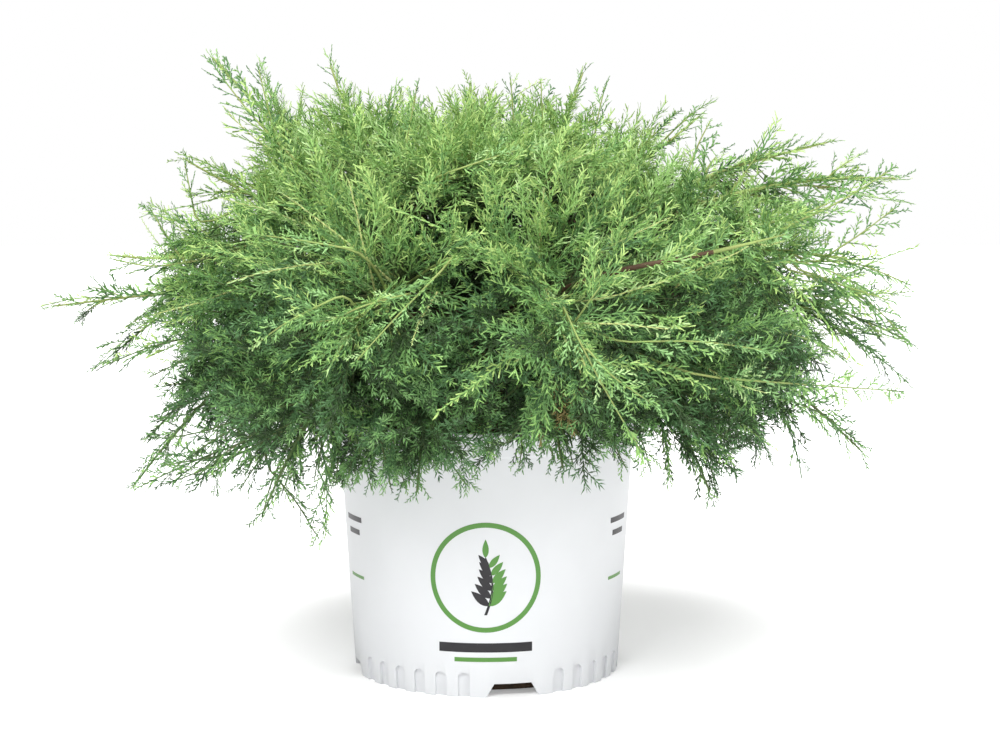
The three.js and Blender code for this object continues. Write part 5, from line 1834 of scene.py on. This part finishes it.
stems = {
    "sides": 8, "ring": 7, "youngFrom": 0.3, "end": 0.97, "endRadius": 0.8, "youngSides": 6, "youngSteps": 7,
    "leader": {"end": 0.7, "steps": 6, "radii": (0.8, 0.6), "sides": 5},
    "twig": {"radii": (1.1, 0.6), "sides": 4},
    "shoot": {"tip": 0.5, "sides": 5},
    "fillSides": 3,
    "thickShoot": 1.8,  # a long shoot with a thicker stem than this starts with brown bark
    "brownJoints": 8,
    "brownRoot": 1.2,
    "colours": {"stems": ((0.110, 0.070, 0.036), (0.070, 0.036, 0.022)),
                "young_stems": ((0.270, 0.370, 0.110), (0.250, 0.270, 0.090)),
                # green_twigs is the darker green of the fill twigs, and of young stems low down where it is
                # partly painted shade
                "green_twigs": ((0.085, 0.160, 0.050), (0.100, 0.110, 0.045))},
    "finish": {"mottle": {"Scale": 45, "Amount": 0.85}, "roughness": 0.65, "specular": 0.3,
               "grain": {"Scale": 500, "Stretch": (1, 1, 1), "Depth": 0.0004, "Strength": 0.4}},
}


def addYoung(shapes, line, radii, sides, darkLow=True):
    # young bark is a pale green, and low down a darker green that is partly painted shade
    dark = darkLow and line[-1][2] < lowPlace
    shapes["green_twigs" if dark else "young_stems"].add(*tube(line, radii, sides))


def addMassStem(shapes, owner):
    # brown for the first part and green with young bark after that
    curve, bare = owner["curve"], owner["bare"]
    turnsGreen = between((bare, 1), stems["youngFrom"])

    def radius(share):
        return between((limb["endRadius"], stems["endRadius"]), (share - bare) / (stems["end"] - bare))

    steps = round(owner["length"] * (turnsGreen - bare) / stems["ring"])
    share = np.linspace(bare, turnsGreen, steps + 1)
    seed = barkSeeds["stem"] + owner["index"]
    shapes["stems"].add(*barkTube(curve.at(share), radius(share), stems["sides"], seed))
    share = np.linspace(turnsGreen, stems["end"], stems["youngSteps"] + 1)
    addYoung(shapes, curve.at(share), radius(share), stems["youngSides"])


def addTwigStems(shapes, owner):
    leader, twigStem = stems["leader"], stems["twig"]
    for one in owner["sprays"]:
        if "curve" in one:
            line = one["curve"].line(0, leader["end"], leader["steps"])
            rootRadius = one["radius"] * leader["radii"][0]
            addYoung(shapes, line, np.linspace(rootRadius, leader["radii"][1], len(line)), leader["sides"])
        if "axis" in one:
            radii = np.linspace(*twigStem["radii"], len(one["axis"]))
            addYoung(shapes, one["axis"], radii, twigStem["sides"])


def addShootStems(shapes, owner):
    for kind, radius, line in owner["longShoots"]:
        if radius > stems["thickShoot"]:
            turns = stems["brownJoints"]
            radii = np.linspace(radius * stems["brownRoot"], radius, turns + 1)
            shapes["stems"].add(*barkTube(line[:turns + 1], radii, stems["sides"], barkSeeds["shoot"]))
            line = line[turns:]
        radii = np.linspace(radius, stems["shoot"]["tip"], len(line))
        addYoung(shapes, line, radii, stems["shoot"]["sides"], darkLow=kind == "sprig")


def addFillStems(shapes, owner):
    for ends in owner["fillTwigs"]:
        shapes["green_twigs"].add(*tube(ends, fillTwig["radii"], stems["fillSides"], closeEnd=False))


def makeStems():
    shapes = {name: Shape() for name in stems["colours"]}
    for owner in limbs:
        addMassStem(shapes, owner)
        addTwigStems(shapes, owner)
        addShootStems(shapes, owner)
        addFillStems(shapes, owner)
    for name, shape in shapes.items():
        vertices, faces = shape.arrays()
        paint = makeMaterial(name, *stems["colours"][name], stems["finish"])
        makeObject(name, vertices, faces, paint, "bark")
        print(name, "made:", len(faces))


makeStems()

sizes = {"frame": frameBounds, "dressed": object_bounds()}
{name: [list(corner) for corner in corners] for name, corners in sizes.items()}
